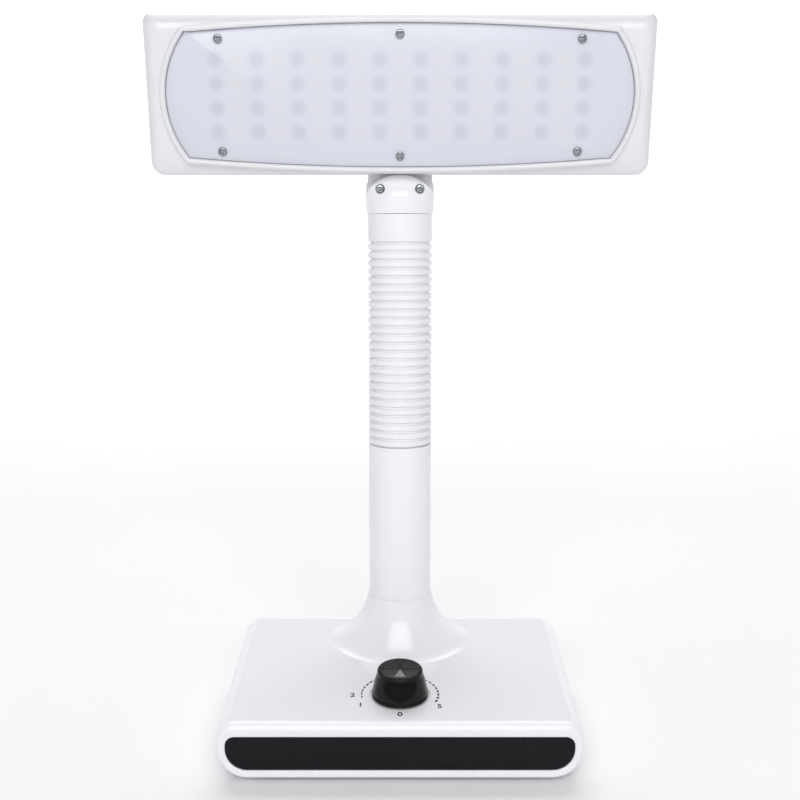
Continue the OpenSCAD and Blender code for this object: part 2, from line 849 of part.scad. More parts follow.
module neck_cap() {
    color(white) difference() {
        on_tube(0) difference() {
            intersection() {
                neck_barrel();
                translate([0, 0, neck_z + cap_h - arch_r]) rotate([90, 0, 0])
                    cylinder(h = 100, r = arch_r, center = true, $fn = 180);
                translate([0, cap_round_back, cap_round_z]) sphere(cap_round_r, $fn = 96);
                translate([-50, -50, 0]) cube([100, 50 - slip_gap / 2, 500]);
            }
            tenon_room();
            cap_screw_spots() {
                translate([0, 0, -cap_screw_seat - 1])
                    cylinder(h = cap_screw_seat + 2, r = screw_r + slip_gap);
                translate([0, 0, -cap_screw_seat - neck_r])
                    cylinder(h = neck_r, r = lens_screw_head + run_gap);
            }
        }
        lead_channel();
    }
}

module cap_screws() {
    color(steel) on_tube(0) cap_screw_spots()
        translate([0, 0, -cap_screw_seat]) pan_screw(cap_screw_seat + 5.6, screw_r, lens_screw_head, 1.7);
}

// The space that the head takes, with its back surface at the given depth
module head_space(back) {
    in_head() translate([-200, -50, -half_h]) cube([400, 50 + back, 200]);
}

module neck_rear() {
    color(white) difference() {
        on_tube(0) intersection() {
            union() {
                intersection() {
                    neck_barrel();
                    translate([0, 0, neck_z]) cylinder(h = cap_h - 4, r = 50);
                }
                translate([0, 0, neck_z + 6]) cylinder(h = post_top - neck_z - 6, r = tube_r);
            }
            translate([-50, slip_gap / 2, 0]) cube([100, 50, 500]);
            translate([0, -28, post_top - 34]) rotate([0, 90, 0])
                cylinder(h = 100, r = 52, center = true, $fn = 180);
        }
        head_space(head_d + slip_gap / 2);
        on_tube(0) {
            tenon_room();
            cap_screw_spots() cylinder(h = 9, r = screw_r);
        }
        neck_screw_spots() cylinder(h = 9, r = screw_r);
        lead_channel();
    }
}

module neck_screw_spots() {
    in_head() for (s = [-1, 1])
        translate([s * neck_screw_x, head_d, neck_screw_z]) rotate([-90, 0, 0]) children();
}

module neck_screws() {
    color(steel) neck_screw_spots()
        translate([0, 0, -head_wall]) pan_screw(head_wall + 8, screw_r, head_r, 1.6);
}

lead_turn = [0, tube_y + 11, neck_z + 24];
function head_point(p) = [p[0],
    tube_y - head_reach + p[1] * cos(head_tilt) - p[2] * sin(head_tilt),
    head_z + p[1] * sin(head_tilt) + p[2] * cos(head_tilt)];
lead_points = [
    [0, tube_y, tenon_top - 5], [0, tube_y, tenon_top + 1.5], lead_turn,
    head_point([0, head_d + 6, lead_entry_z]), head_point([0, head_d - head_wall - 3, lead_entry_z]),
    head_point([0, led_back + 2.5, lead_entry_z + 6]), head_point([0, led_back + 2, lead_entry_z + 14])];

module lead_channel() {
    wire([for (i = [0:4]) lead_points[i]], lead_r + 0.6);
}

module head_lead() {
    color(wire_grey) wire(lead_points, lead_r);
}

// Head

module head_skin() {
    side_in = head_w / 2 - rim_half_w - rim_edge;
    edge_in = half_h - rim_half_h - rim_edge;
    hull() {
        along_y(rim_lift, rim_lift + slab_t) lens_outline(-rim_edge);
        for (a = [22.5:22.5:67.5])
            head_slab(rim_lift + front_dome * (1 - sin(a)), slab_t,
                side_in * (1 - cos(a)), edge_in * (1 - cos(a)));
        head_slab(rim_lift + front_dome, head_d - head_back_r - rim_lift - front_dome, 0, 0);
        for (a = [18:18:90])
            head_slab(head_d - head_back_r * (1 - sin(a)) - slab_t, slab_t,
                head_back_r * (1 - cos(a)), head_back_r * (1 - cos(a)));
    }
}

// Slice of the head from depth y on, drawn in at its ends and at its long edges
module head_slab(y, thick, side, edge) {
    along_y(y, y + thick)
        corner_discs(head_w / 2 - side, edge - half_h, half_h - edge, head_low_r, head_up_r, $fn = 24);
}

module head_housing() {
    color(white) difference() {
        in_head() difference() {
            union() {
                difference() {
                    union() {
                        head_skin();
                        along_y(0, seat_y) lens_outline(0);
                    }
                    along_y(-1, seat_y) lens_outline(lens_inset);
                    along_y(seat_y - eps, inside_back) lens_outline(lens_inset + ledge);
                }
                for (p = lens_spots) translate([p[0], seat_y, p[1]]) rotate([-90, 0, 0])
                    cylinder(h = inside_back - seat_y + eps, r = 3.4);
                for (x = led_spots) translate([x, led_back, 0]) rotate([-90, 0, 0])
                    cylinder(h = inside_back - led_back + eps, r = 3);
            }
            for (p = lens_spots) translate([p[0], 0, p[1]]) rotate([-90, 0, 0])
                cylinder(h = seat_y + 9, r = screw_r - 0.2);
            for (x = led_spots) translate([x, led_y, 0]) rotate([-90, 0, 0])
                cylinder(h = 8, r = screw_r - 0.2);
        }
        neck_screw_spots() translate([0, 0, -head_wall - 1])
            cylinder(h = 20, r = screw_r + slip_gap);
        lead_channel();
        on_tube(neck_z) cylinder(h = cap_h + run_gap, r = neck_r + run_gap);
    }
}

module diffuser() {
    color([0.86, 0.87, 0.91]) in_head() difference() {
        along_y(diffuser_set, seat_y) lens_outline(lens_inset + slip_gap);
        for (p = lens_spots) translate([p[0], 0, p[1]]) rotate([-90, 0, 0])
            cylinder(h = 20, r = screw_r - 0.2 + slip_gap);
    }
}

module diffuser_screws() {
    color(steel) in_head() for (p = lens_spots)
        translate([p[0], diffuser_set, p[1]]) rotate([-90, 0, 0])
        pan_screw(diffuser_t + 8, screw_r - 0.2, lens_screw_head, 1.5);
}

module led_board() {
    color([0.88, 0.88, 0.86]) in_head() difference() {
        along_y(led_y, led_back) round_rect(led_size[0], led_size[1], 2);
        for (x = led_spots) translate([x, 0, 0]) rotate([-90, 0, 0])
            cylinder(h = 40, r = screw_r - 0.2 + slip_gap);
    }
}

module led_screws() {
    color(steel) in_head() for (x = led_spots) translate([x, led_y, 0]) rotate([-90, 0, 0])
        pan_screw(led_size[2] + 6, screw_r - 0.2, lens_screw_head, 1.4);
}

// Rows of square lights on the board, starting at column x0
module light_grid(x0, columns) {
    in_head() for (c = [0:columns - 1], r = [0:light_rows - 1])
        translate([x0 + c * column_pitch - chip[0] / 2, led_y - chip[1],
            (r - (light_rows - 1) / 2) * row_pitch - chip[2] / 2]) cube(chip);
}

grid_start = -column_pitch * (light_columns - 1) / 2;

module cool_leds() {
    color([0.95, 0.96, 1]) light_grid(grid_start, light_columns);
}

module warm_leds() {
    color([1, 0.9, 0.6]) light_grid(grid_start + column_pitch / 2, light_columns - 1);
}

base_housing();
bottom_plate();
front_panel();
rubber_feet();
base_screws();
ballast();
driver_board();
board_parts();
board_screws();
dc_socket();
pot_body();
pot_washer();
pot_nut();
pot_leads();
lower_tube();
tube_flange();
flange_screws();
lower_fitting();
sleeve_lower_end();
base_lead();
knob();
knob_pointer();
pot_shaft();
for (i = [1:links]) {
    link_piece(i);
    sleeve_piece(i);
}
sleeve_upper_end();
upper_fitting();
neck_rear();
neck_cap();
cap_screws();
neck_screws();
head_housing();
diffuser();
diffuser_screws();
led_board();
led_screws();
cool_leds();
warm_leds();
head_lead();
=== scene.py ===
"""Looks of the desk lamp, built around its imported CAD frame.

Lengths are millimetres, and metres in the stage at the end. Meshes are made in metres.
"""
import math

import bmesh
import bpy
from mathutils import Matrix, Vector


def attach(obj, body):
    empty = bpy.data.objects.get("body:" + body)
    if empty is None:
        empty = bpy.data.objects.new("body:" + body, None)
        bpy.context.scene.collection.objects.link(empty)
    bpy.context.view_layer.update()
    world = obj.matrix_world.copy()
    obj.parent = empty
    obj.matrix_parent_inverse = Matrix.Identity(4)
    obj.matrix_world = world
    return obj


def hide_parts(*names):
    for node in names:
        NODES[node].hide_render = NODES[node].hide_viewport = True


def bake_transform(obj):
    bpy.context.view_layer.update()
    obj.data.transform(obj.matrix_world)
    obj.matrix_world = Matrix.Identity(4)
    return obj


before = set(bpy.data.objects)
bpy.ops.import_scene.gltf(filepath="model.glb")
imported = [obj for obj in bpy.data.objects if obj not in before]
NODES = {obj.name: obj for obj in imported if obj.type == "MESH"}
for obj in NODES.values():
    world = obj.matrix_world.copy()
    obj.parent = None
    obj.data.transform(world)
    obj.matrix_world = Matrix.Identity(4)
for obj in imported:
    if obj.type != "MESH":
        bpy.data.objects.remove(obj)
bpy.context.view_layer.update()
MM = 0.001

# Sizes of the lamp, as in the CAD source
FRONT_Y, BACK_Y = -66.0, 66.0
TUBE_Y = 32.0
TOP_SLOPE = math.radians(5.7)
FRONT_H = 32.5
KNOB_Y = FRONT_Y + 30.5
TUBE_R, TUBE_IN_R = 18.0, 16.5
TUBE_TOP = 160.5
RING_Z = 70.6
RIB_PITCH = 4.62
RIB_W = RIB_PITCH - 1.4
RIB_ROUND = 0.8
GROOVE_R = 16.4
SLEEVE_BORE = 14.8
LINKS = 11
COLLAR_TOP = TUBE_TOP + 25 * RIB_PITCH + 16.0
HEAD_TILT = math.radians(8)
HEAD_REACH = 28.0
HEAD_W, HEAD_H, HEAD_D = 272.0, 84.7, 28.0
HEAD_TOP = HEAD_H / 2 - 0.1
HEAD_BACK_R = 9.0
HEAD_LOW_R, HEAD_UP_R = 7.5, 5.0
DOME_D, DOME_UP, DOME_LOW, DOME_SIDE = 8.0, 10.0, 20.0, 7.0
RIM_LIFT, RIM_W = 2.5, 2.8
RIM_HALF_W, RIM_HALF_H = 127.6, 40.0
LONG_ARC, END_ARC, RIM_CORNER_R = 1325.0, 54.91, 2.6
DIFFUSER_Y, SEAT_Y = 3.0, 5.2
NECK_R, CAP_H = 19.2, 21.0
NECK_Z = COLLAR_TOP + 0.2
HEAD_Z = NECK_Z + 19.2 + HEAD_H / 2 * math.cos(HEAD_TILT)
LED_PITCH_X, LED_PITCH_Z, LED_ROWS = 21.7, 12.5, 4
COOL_COLUMNS, WARM_COLUMNS = 10, 9


def top_z(y):
    """Height of the base's sloping top."""
    return FRONT_H + math.tan(TOP_SLOPE) * (y - FRONT_Y)


def move_to(x, y, z):
    return Matrix.Translation((x * MM, y * MM, z * MM))


# Frames of the dial on the base's top, of the head, and one with its +Z out of the front
TO_TOP = move_to(0, KNOB_Y, top_z(KNOB_Y)) @ Matrix.Rotation(TOP_SLOPE, 4, "X")
TO_HEAD = move_to(0, TUBE_Y - HEAD_REACH, HEAD_Z) @ Matrix.Rotation(HEAD_TILT, 4, "X")
OUTWARD = Matrix.Rotation(math.radians(90), 4, "X")


# Materials

TINT = "tint"  # name of the node that gives a material its colour


def material(name, colour, colour_2, rough, rough_2, grain, bump, patch=18.0, **sockets):
    """A moulded surface: two close colours in soft patches, uneven gloss and a fine grain."""
    mat = bpy.data.materials.new(name)
    mat.use_nodes = True
    tree = mat.node_tree
    shader = tree.nodes["Principled BSDF"]
    for key, value in sockets.items():
        shader.inputs[key.replace("_", " ")].default_value = value
    coords = tree.nodes.new("ShaderNodeTexCoord")

    def noise(scale, detail):
        node = tree.nodes.new("ShaderNodeTexNoise")
        node.inputs["Scale"].default_value = scale
        node.inputs["Detail"].default_value = detail
        tree.links.new(coords.outputs["Object"], node.inputs["Vector"])
        return node.outputs["Fac"]

    ramp = tree.nodes.new("ShaderNodeValToRGB")
    ramp.name = TINT
    for stop, position, tint in zip(ramp.color_ramp.elements, (0.2, 0.8), (colour, colour_2)):
        stop.position = position
        stop.color = (*tint, 1)
    tree.links.new(noise(patch, 1.0), ramp.inputs["Fac"])
    tree.links.new(ramp.outputs["Color"], shader.inputs["Base Color"])

    spread = tree.nodes.new("ShaderNodeMapRange")
    spread.inputs["From Min"].default_value = 0.15
    spread.inputs["From Max"].default_value = 0.85
    spread.inputs["To Min"].default_value = rough
    spread.inputs["To Max"].default_value = rough_2
    tree.links.new(noise(patch * 4, 1.0), spread.inputs["Value"])
    tree.links.new(spread.outputs["Result"], shader.inputs["Roughness"])

    relief = tree.nodes.new("ShaderNodeBump")
    relief.inputs["Strength"].default_value = bump
    relief.inputs["Distance"].default_value = 0.0001
    tree.links.new(noise(grain, 2.0), relief.inputs["Height"])
    tree.links.new(relief.outputs["Normal"], shader.inputs["Normal"])
    return mat


WHITE = material("shell_white", (0.805, 0.805, 0.828), (0.82, 0.82, 0.842),
                 0.32, 0.38, 420, 0.02, Coat_Weight=0.45, Coat_Roughness=0.05)
# The head's white is a darker copy of the shell's white: painted shade for how the light falls on
# the head
HEAD_WHITE_PAINTED_SHADE = material("head_white_painted_shade", (0.70, 0.70, 0.725), (0.715, 0.715, 0.74),
                      0.32, 0.38, 420, 0.02, Coat_Weight=0.45, Coat_Roughness=0.05)
SLEEVE = material("sleeve_white", (0.805, 0.805, 0.825), (0.82, 0.82, 0.84),
                  0.36, 0.42, 420, 0.03, Coat_Weight=0.1, Coat_Roughness=0.25)
PANEL = material("panel_black", (0.0075, 0.0075, 0.0095), (0.0088, 0.0088, 0.0108),
                 0.25, 0.28, 900, 0.015, Specular_IOR_Level=0.12)
KNOB = material("knob_black", (0.011, 0.011, 0.012), (0.013, 0.013, 0.014),
                0.08, 0.12, 900, 0.02, Specular_IOR_Level=0.13)
POINTER = material("pointer_grey", (0.16, 0.16, 0.175), (0.20, 0.20, 0.215),
                   0.35, 0.45, 2500, 0.1)
PRINT = material("print_grey", (0.012, 0.012, 0.016), (0.02, 0.02, 0.024),
                 0.5, 0.6, 900, 0.05, patch=300.0)
STEEL = material("screw_steel", (0.27, 0.285, 0.30), (0.36, 0.375, 0.39),
                 0.08, 0.14, 900, 0.05, patch=120.0, Metallic=1.0)
RUBBER = material("foot_rubber", (0.012, 0.012, 0.012), (0.02, 0.02, 0.02),
                  0.65, 0.8, 1800, 0.5)
IRON = material("ballast_iron", (0.09, 0.09, 0.095), (0.14, 0.14, 0.145),
                0.45, 0.6, 900, 0.5, Metallic=1.0)
ACETAL = material("link_grey", (0.33, 0.335, 0.35), (0.38, 0.385, 0.4),
                  0.4, 0.5, 2200, 0.12)
BOARD = material("board_green", (0.012, 0.075, 0.028), (0.016, 0.10, 0.038),
                 0.3, 0.45, 1500, 0.3, patch=90.0)
MOULDED = material("moulded_black", (0.014, 0.014, 0.016), (0.024, 0.024, 0.026),
                   0.4, 0.55, 2000, 0.25)
CAN = material("can_metal", (0.5, 0.5, 0.5), (0.58, 0.58, 0.58),
               0.28, 0.4, 1500, 0.2, Metallic=1.0)
LEAD = material("lead_grey", (0.06, 0.06, 0.065), (0.09, 0.09, 0.095),
                0.5, 0.6, 1500, 0.2)
LED_BOARD = material("led_board_white", (0.74, 0.74, 0.72), (0.79, 0.79, 0.77),
                     0.4, 0.5, 1500, 0.2)
COOL = material("led_cool", (0.8, 0.84, 0.92), (0.85, 0.88, 0.95),
                0.15, 0.25, 2500, 0.1, patch=400.0)
WARM = material("led_warm", (0.86, 0.66, 0.2), (0.9, 0.72, 0.26),
                0.15, 0.25, 2500, 0.1, patch=400.0)


def mix_colour(tree, amount, first, second):
    """Goes from the colour output first to the plain colour second as amount goes from 0 to 1."""
    mix = tree.nodes.new("ShaderNodeMix")
    mix.data_type = "RGBA"
    factor, a, b = mix.inputs[0], mix.inputs[6], mix.inputs[7]
    tree.links.new(amount, factor)
    tree.links.new(first, a)
    b.default_value = (*second, 1)
    return mix.outputs[2]


def paint_hollow_light_and_shade(mat, attribute, colour):
    """Painted light and shade in the hollows of a piece: goes over to another colour from their
    depth on its mesh.
    """
    tree = mat.node_tree
    depth = tree.nodes.new("ShaderNodeAttribute")
    depth.attribute_name = attribute
    tint = tree.nodes[TINT].outputs["Color"]
    shaded = mix_colour(tree, depth.outputs["Fac"], tint, colour)
    tree.links.new(shaded, tree.nodes["Principled BSDF"].inputs["Base Color"])


# Painted light and painted shade: the sleeve's grooves are painted lighter than its ribs,
# and the knob's scoops are painted darker than its satin side
paint_hollow_light_and_shade(SLEEVE, "groove", (0.845, 0.845, 0.865))
paint_hollow_light_and_shade(KNOB, "scoop", (0.0005, 0.0005, 0.0008))

SPOT_CORE, COOL_SPOT_R, WARM_SPOT_R = 0.5, 7.0, 6.0


def diffuser_material():
    """Milky sheet with the soft spots of the lights behind it, in rows of cool and warm ones."""
    mat = material("diffuser_milk", (0.61, 0.622, 0.69), (0.63, 0.64, 0.71),
                   0.3, 0.38, 700, 0.02, Coat_Weight=0.15, Coat_Roughness=0.2)
    tree = mat.node_tree
    coords = tree.nodes.new("ShaderNodeTexCoord")
    place = tree.nodes.new("ShaderNodeMapping")
    place.vector_type = "TEXTURE"
    place.inputs["Location"].default_value = TO_HEAD.translation
    place.inputs["Rotation"].default_value = (HEAD_TILT, 0, 0)
    place.inputs["Scale"].default_value = (MM, MM, MM)
    tree.links.new(coords.outputs["Object"], place.inputs["Vector"])
    split = tree.nodes.new("ShaderNodeSeparateXYZ")
    tree.links.new(place.outputs["Vector"], split.inputs["Vector"])

    def math_node(kind, *values):
        node = tree.nodes.new("ShaderNodeMath")
        node.operation = kind
        for socket, value in zip(node.inputs, values):
            if isinstance(value, (int, float)):
                socket.default_value = value
            else:
                tree.links.new(value, socket)
        return node.outputs["Value"]

    def from_grid(axis, pitch, count):
        """Distance to the nearest of count lines that lie evenly about the middle."""
        first = -(count - 1) / 2 * pitch
        at = math_node("DIVIDE", math_node("SUBTRACT", split.outputs[axis], first), pitch)
        nearest = math_node("MAXIMUM", math_node("ROUND", at), 0.0)
        nearest = math_node("MINIMUM", nearest, count - 1.0)
        return math_node("MULTIPLY", math_node("SUBTRACT", at, nearest), pitch)

    def spots(columns, radius):
        dx = from_grid("X", LED_PITCH_X, columns)
        dz = from_grid("Z", LED_PITCH_Z, LED_ROWS)
        squares = math_node("ADD", math_node("MULTIPLY", dx, dx), math_node("MULTIPLY", dz, dz))
        fade = tree.nodes.new("ShaderNodeMapRange")
        fade.interpolation_type = "SMOOTHERSTEP"
        fade.inputs["From Min"].default_value = SPOT_CORE
        fade.inputs["From Max"].default_value = radius
        fade.inputs["To Min"].default_value = 1.0
        fade.inputs["To Max"].default_value = 0.0
        tree.links.new(math_node("SQRT", squares), fade.inputs["Value"])
        return fade.outputs["Result"]

    tint = tree.nodes[TINT].outputs["Color"]
    tint = mix_colour(tree, spots(COOL_COLUMNS, COOL_SPOT_R), tint, (0.535, 0.55, 0.63))
    tint = mix_colour(tree, spots(WARM_COLUMNS, WARM_SPOT_R), tint, (0.632, 0.634, 0.675))
    tree.links.new(tint, tree.nodes["Principled BSDF"].inputs["Base Color"])
    return mat


DIFFUSER = diffuser_material()

LINK_NODES = [f"link_{i}" for i in range(1, LINKS + 1)]
STEEL_NODES = ("base_screws", "board_screws", "flange_screws", "cap_screws", "neck_screws",
               "diffuser_screws", "led_screws", "pot_washer", "pot_nut", "pot_shaft")
for mat, names in (
    (WHITE, ("bottom_plate",)), (PANEL, ("front_panel",)), (RUBBER, ("rubber_feet",)),
    (STEEL, STEEL_NODES), (IRON, ("ballast",)), (BOARD, ("driver_board",)),
    (MOULDED, ("board_parts", "dc_socket")), (CAN, ("pot_body", "tube_flange")),
    (LEAD, ("pot_leads", "base_lead", "head_lead")),
    (ACETAL, ("lower_fitting", "upper_fitting", *LINK_NODES)),
    (LED_BOARD, ("led_board",)), (COOL, ("cool_leds",)), (WARM, ("warm_leds",)),
):
    for name in names:
        data = NODES[name].data
        data.materials.clear()
        data.materials.append(mat)


# Mesh helpers

SHARP = 40  # degrees between two faces from which their edge stays sharp
LONG_STEPS, END_STEPS, CORNER_STEPS = 72, 28, 10


def add_object(name, mesh, mat, body=None, replaces=()):
    obj = bpy.data.objects.new(name, mesh)
    bpy.context.scene.collection.objects.link(obj)
    mesh.materials.clear()
    mesh.materials.append(mat)
    if replaces:
        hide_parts(*replaces)
    if body:
        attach(obj, body)
    return obj


def even_normals(obj):
    mod = obj.modifiers.new("even_normals", "WEIGHTED_NORMAL")
    mod.keep_sharp = True
    mod.weight = 50


def mark_sharp(bm, degrees):
    limit = math.radians(degrees)
    for face in bm.faces:
        face.smooth = True
    for edge in bm.edges:
        edge.smooth = not (len(edge.link_faces) == 2 and edge.calc_face_angle(0) > limit)


def finish_mesh(bm, mesh, sharp=SHARP):
    """Turns the faces outward, smooths them and writes them into the mesh."""
    bmesh.ops.recalc_face_normals(bm, faces=bm.faces)
    mark_sharp(bm, sharp)
    bm.to_mesh(mesh)
    bm.free()
    return mesh


def new_mesh(bm, name, sharp=SHARP):
    return finish_mesh(bm, bpy.data.meshes.new(name), sharp)


def skin(name, verts, faces, sharp=SHARP, **depths):
    """A mesh of points in metres, with a value for each point under each given name."""
    mesh = bpy.data.meshes.new(name)
    mesh.from_pydata(verts, [], faces)
    for attribute, values in depths.items():
        mesh.attributes.new(attribute, "FLOAT", "POINT").data.foreach_set("value", values)
    bm = bmesh.new()
    bm.from_mesh(mesh)
    return finish_mesh(bm, mesh, sharp)


def evaluated_mesh(obj):
    """The mesh of an object as its modifiers or its letters make it."""
    bpy.context.view_layer.update()
    graph = bpy.context.evaluated_depsgraph_get()
    return bpy.data.meshes.new_from_object(obj.evaluated_get(graph))


def clamp(value):
    return max(0.0, min(1.0, value))


def soft_step(start, end, value):
    t = clamp((value - start) / (end - start))
    return t * t * (3 - 2 * t)


def span(a, b, steps):
    """Even steps from a up to the one before b."""
    return [a + (b - a) * k / steps for k in range(steps)]


def polar(cx, cy, r, degrees):
    turn = math.radians(degrees)
    return cx + r * math.cos(turn), cy + r * math.sin(turn)


def arc(cx, cy, r, a0, a1, steps):
    return [polar(cx, cy, r, a0 + (a1 - a0) * k / steps) for k in range(steps + 1)]


def at_depth(outline, y):
    return [(x, y, z) for x, z in outline]


def box_outline(half_w, low, high, r_low, r_up):
    """Points (x, z) round a bar with rounded corners, from its lower left counter-clockwise."""
    points = []
    corners = ((half_w - r_low, low + r_low, r_low, -90), (half_w - r_up, high - r_up, r_up, 0),
               (r_up - half_w, high - r_up, r_up, 90), (r_low - half_w, low + r_low, r_low, 180))
    steps = (LONG_STEPS, END_STEPS, LONG_STEPS, END_STEPS)
    for k, (cx, cz, r, turn) in enumerate(corners):
        start = polar(*corners[k - 1][:3], turn)
        end = polar(cx, cz, r, turn)
        points += zip(span(start[0], end[0], steps[k]), span(start[1], end[1], steps[k]))
        points += [polar(cx, cz, r, a) for a in span(turn, turn + 90, CORNER_STEPS)]
    return points


def loft(name, loops, move=None):
    """A skin over rings of equally many points [(x, y, z), ...], closed at both ends."""
    count = len(loops[0])
    bm = bmesh.new()
    rings = [[bm.verts.new((x * MM, y * MM, z * MM)) for x, y, z in ring] for ring in loops]
    for here, after in zip(rings, rings[1:]):
        for i in range(count):
            j = (i + 1) % count
            bm.faces.new((here[i], here[j], after[j], after[i]))
    bm.faces.new(rings[0][::-1])
    bm.faces.new(rings[-1])
    if move:
        bm.transform(move)
    return new_mesh(bm, name)


def cut_away(mesh, tools):
    """The mesh without the space of the tool meshes."""
    holder = bpy.data.objects.new("holder", mesh)
    bpy.context.scene.collection.objects.link(holder)
    blocks = []
    for tool in tools:
        block = bpy.data.objects.new("tool", tool)
        bpy.context.scene.collection.objects.link(block)
        blocks.append(block)
        mod = holder.modifiers.new("cut", "BOOLEAN")
        mod.operation, mod.object, mod.solver = "DIFFERENCE", block, "EXACT"
    result = evaluated_mesh(holder)
    for obj in (holder, *blocks):
        bpy.data.objects.remove(obj)
    return result


def drum(r, z0, z1, move, segments=128):
    """A closed cylinder between two heights of a frame of its own."""
    ring = [polar(0, 0, r, 360 * k / segments) for k in range(segments)]
    return loft("drum", [[(x, y, z) for x, y in ring] for z in (z0, z1)], move)


PAINTED_LIGHT_START_R = TUBE_R - 0.25  # where the painted light of a groove begins


def revolve(name, loop, segments=96):
    """A ring of the closed profile [(r, z), ...] round the tube's axis, with its groove depth for
    the painted light in the grooves.
    """
    verts, faces, depth = [], [], []
    count = len(loop)
    for k in range(segments):
        a = 2 * math.pi * k / segments
        n = (k + 1) % segments
        for i, (r, z) in enumerate(loop):
            j = (i + 1) % count
            verts.append((r * math.sin(a) * MM, (TUBE_Y - r * math.cos(a)) * MM, z * MM))
            # painted light: a groove's depth lightens the sleeve's colour there
            depth.append(clamp((PAINTED_LIGHT_START_R - r) / (PAINTED_LIGHT_START_R - GROOVE_R)))
            faces.append((k * count + i, n * count + i, n * count + j, k * count + j))
    return skin(name, verts, faces, groove=depth)


def moulded(node, name, mat, body):
    """A shell in a CAD node's own shape with joined, smooth faces."""
    source = NODES[node].data
    bm = bmesh.new()
    verts = [bm.verts.new(v.co) for v in source.vertices]
    for p in source.polygons:
        corners = [verts[i] for i in p.vertices]
        if len(set(corners)) == len(corners):
            bm.faces.new(corners)
    bmesh.ops.remove_doubles(bm, verts=bm.verts, dist=2e-6)
    bmesh.ops.dissolve_degenerate(bm, edges=bm.edges, dist=1e-7)
    bmesh.ops.dissolve_limit(bm, angle_limit=math.radians(0.4), verts=bm.verts, edges=bm.edges)
    even_normals(add_object(name, new_mesh(bm, name, 30), mat, body, (node,)))


# Base

BASE_HALF_W, FOOT_H, KEEL_R, TOP_EDGE_R = 95.0, 2.2, 16.0, 9.0
FRONT_EDGE_R, FRONT_TOP_R, FRONT_CORNER_SHARE = 2.0, 4.0, 0.8
BACK_R, BACK_FOOT_RISE, BACK_KEEL_LOSS, BACK_EDGE_LOSS = 12.0, 11.0, 11.0, 6.0
BASE_SLICES_Y = (-58.0, -45.0, -30.0, -10.0, 10.0, 30.0, 45.0)
OPENING_HALF_W, OPENING_FRONT, OPENING_BACK = 77.0, FRONT_Y + 8.0, BACK_Y - 18.0
OPENING_CORNER_R, OPENING_TOP = 6.0, 26.0
SOCKET_X, SOCKET_Z, SOCKET_HOLE_R, SOCKET_HOLE_L = 38.0, 21.5, 4.7, 19.0
KNOB_HOLE_R, KNOB_HOLE_DEPTH, KNOB_HOLE_LIP = 16.35, 0.8, 0.35
PANEL_HALF_W, PANEL_LOW, PANEL_HIGH = 90.5, 7.0, 25.2
PANEL_LOW_R, PANEL_UP_R = KEEL_R - 4.5, 5.0
# Rings of the panel's recess and of the panel: (growth or inset, depth behind the front)
RECESS_RINGS = ((0.1, 3.2), (0.1, 1.1), (0.2, 0.85), (0.5, 0.7))
PANEL_RINGS = ((0.5, 1.1), (0.25, 1.15), (0.08, 1.3), (0.0, 1.5), (0.0, 3.0))
OVERCUT_BELOW, OVERCUT_ABOVE, OVERCUT_BEHIND = 5.0, 5.0, 2.0


def base_rings():
    """The wedge's rings, from the panel's recess over the front to the back."""
    rings = []
    for grow, deep in RECESS_RINGS:
        outline = box_outline(PANEL_HALF_W + grow, PANEL_LOW - grow, PANEL_HIGH + grow,
                              PANEL_LOW_R, PANEL_UP_R)
        rings.append(at_depth(outline, FRONT_Y + deep))
    for a in range(90, -1, -10):
        share = 1 - math.cos(math.radians(a))
        y = FRONT_Y + FRONT_TOP_R * (1 - math.sin(math.radians(a)))
        side, top = FRONT_EDGE_R * share, FRONT_TOP_R * share
        outline = box_outline(BASE_HALF_W - side, FOOT_H + side, top_z(y) - top,
                              KEEL_R - side, TOP_EDGE_R - top * FRONT_CORNER_SHARE)
        rings.append(at_depth(outline, y))
    for y in BASE_SLICES_Y:
        outline = box_outline(BASE_HALF_W, FOOT_H, top_z(y), KEEL_R, TOP_EDGE_R)
        rings.append(at_depth(outline, y))
    for a in range(0, 91, 9):
        share = 1 - math.cos(math.radians(a))
        y = BACK_Y - BACK_R * (1 - math.sin(math.radians(a)))
        outline = box_outline(BASE_HALF_W - BACK_R * share, FOOT_H + BACK_FOOT_RISE * share,
                              top_z(y) - TOP_EDGE_R * share, KEEL_R - BACK_KEEL_LOSS * share,
                              TOP_EDGE_R - BACK_EDGE_LOSS * share)
        rings.append(at_depth(outline, y))
    return rings


def build_base():
    """The wedge with its opening below, the knob's recess and the inlet's hole cut."""
    middle = (OPENING_FRONT + OPENING_BACK) / 2
    deep = (OPENING_BACK - OPENING_FRONT) / 2
    outline = box_outline(OPENING_HALF_W, -deep, deep, OPENING_CORNER_R, OPENING_CORNER_R)
    opening = [[(x, middle + y, z) for x, y in outline] for z in (-OVERCUT_BELOW, OPENING_TOP)]
    inlet = move_to(SOCKET_X, BACK_Y, SOCKET_Z) @ OUTWARD
    mesh = cut_away(loft("base_shell", base_rings()), [
        loft("opening", opening),
        drum(KNOB_HOLE_R, -KNOB_HOLE_DEPTH, OVERCUT_ABOVE, TO_TOP),
        drum(SOCKET_HOLE_R, -OVERCUT_BEHIND, SOCKET_HOLE_L, inlet, 64),
    ])
    bm = bmesh.new()
    bm.from_mesh(mesh)
    to_dial = TO_TOP.inverted()

    def on_lip(v):
        at = to_dial @ v.co
        off = math.hypot(at.x, at.y) - KNOB_HOLE_R * MM
        return abs(off) < 2e-5 and abs(at.z) < 5e-5

    lip = [e for e in bm.edges if all(on_lip(v) for v in e.verts)]
    bmesh.ops.bevel(bm, geom=lip, offset=KNOB_HOLE_LIP * MM, segments=4, profile=0.5,
                    affect="EDGES", clamp_overlap=True)
    return new_mesh(bm, "base_shell", 35)


even_normals(add_object("base_shell", build_base(), WHITE, "base",
                        ("base_housing",)))

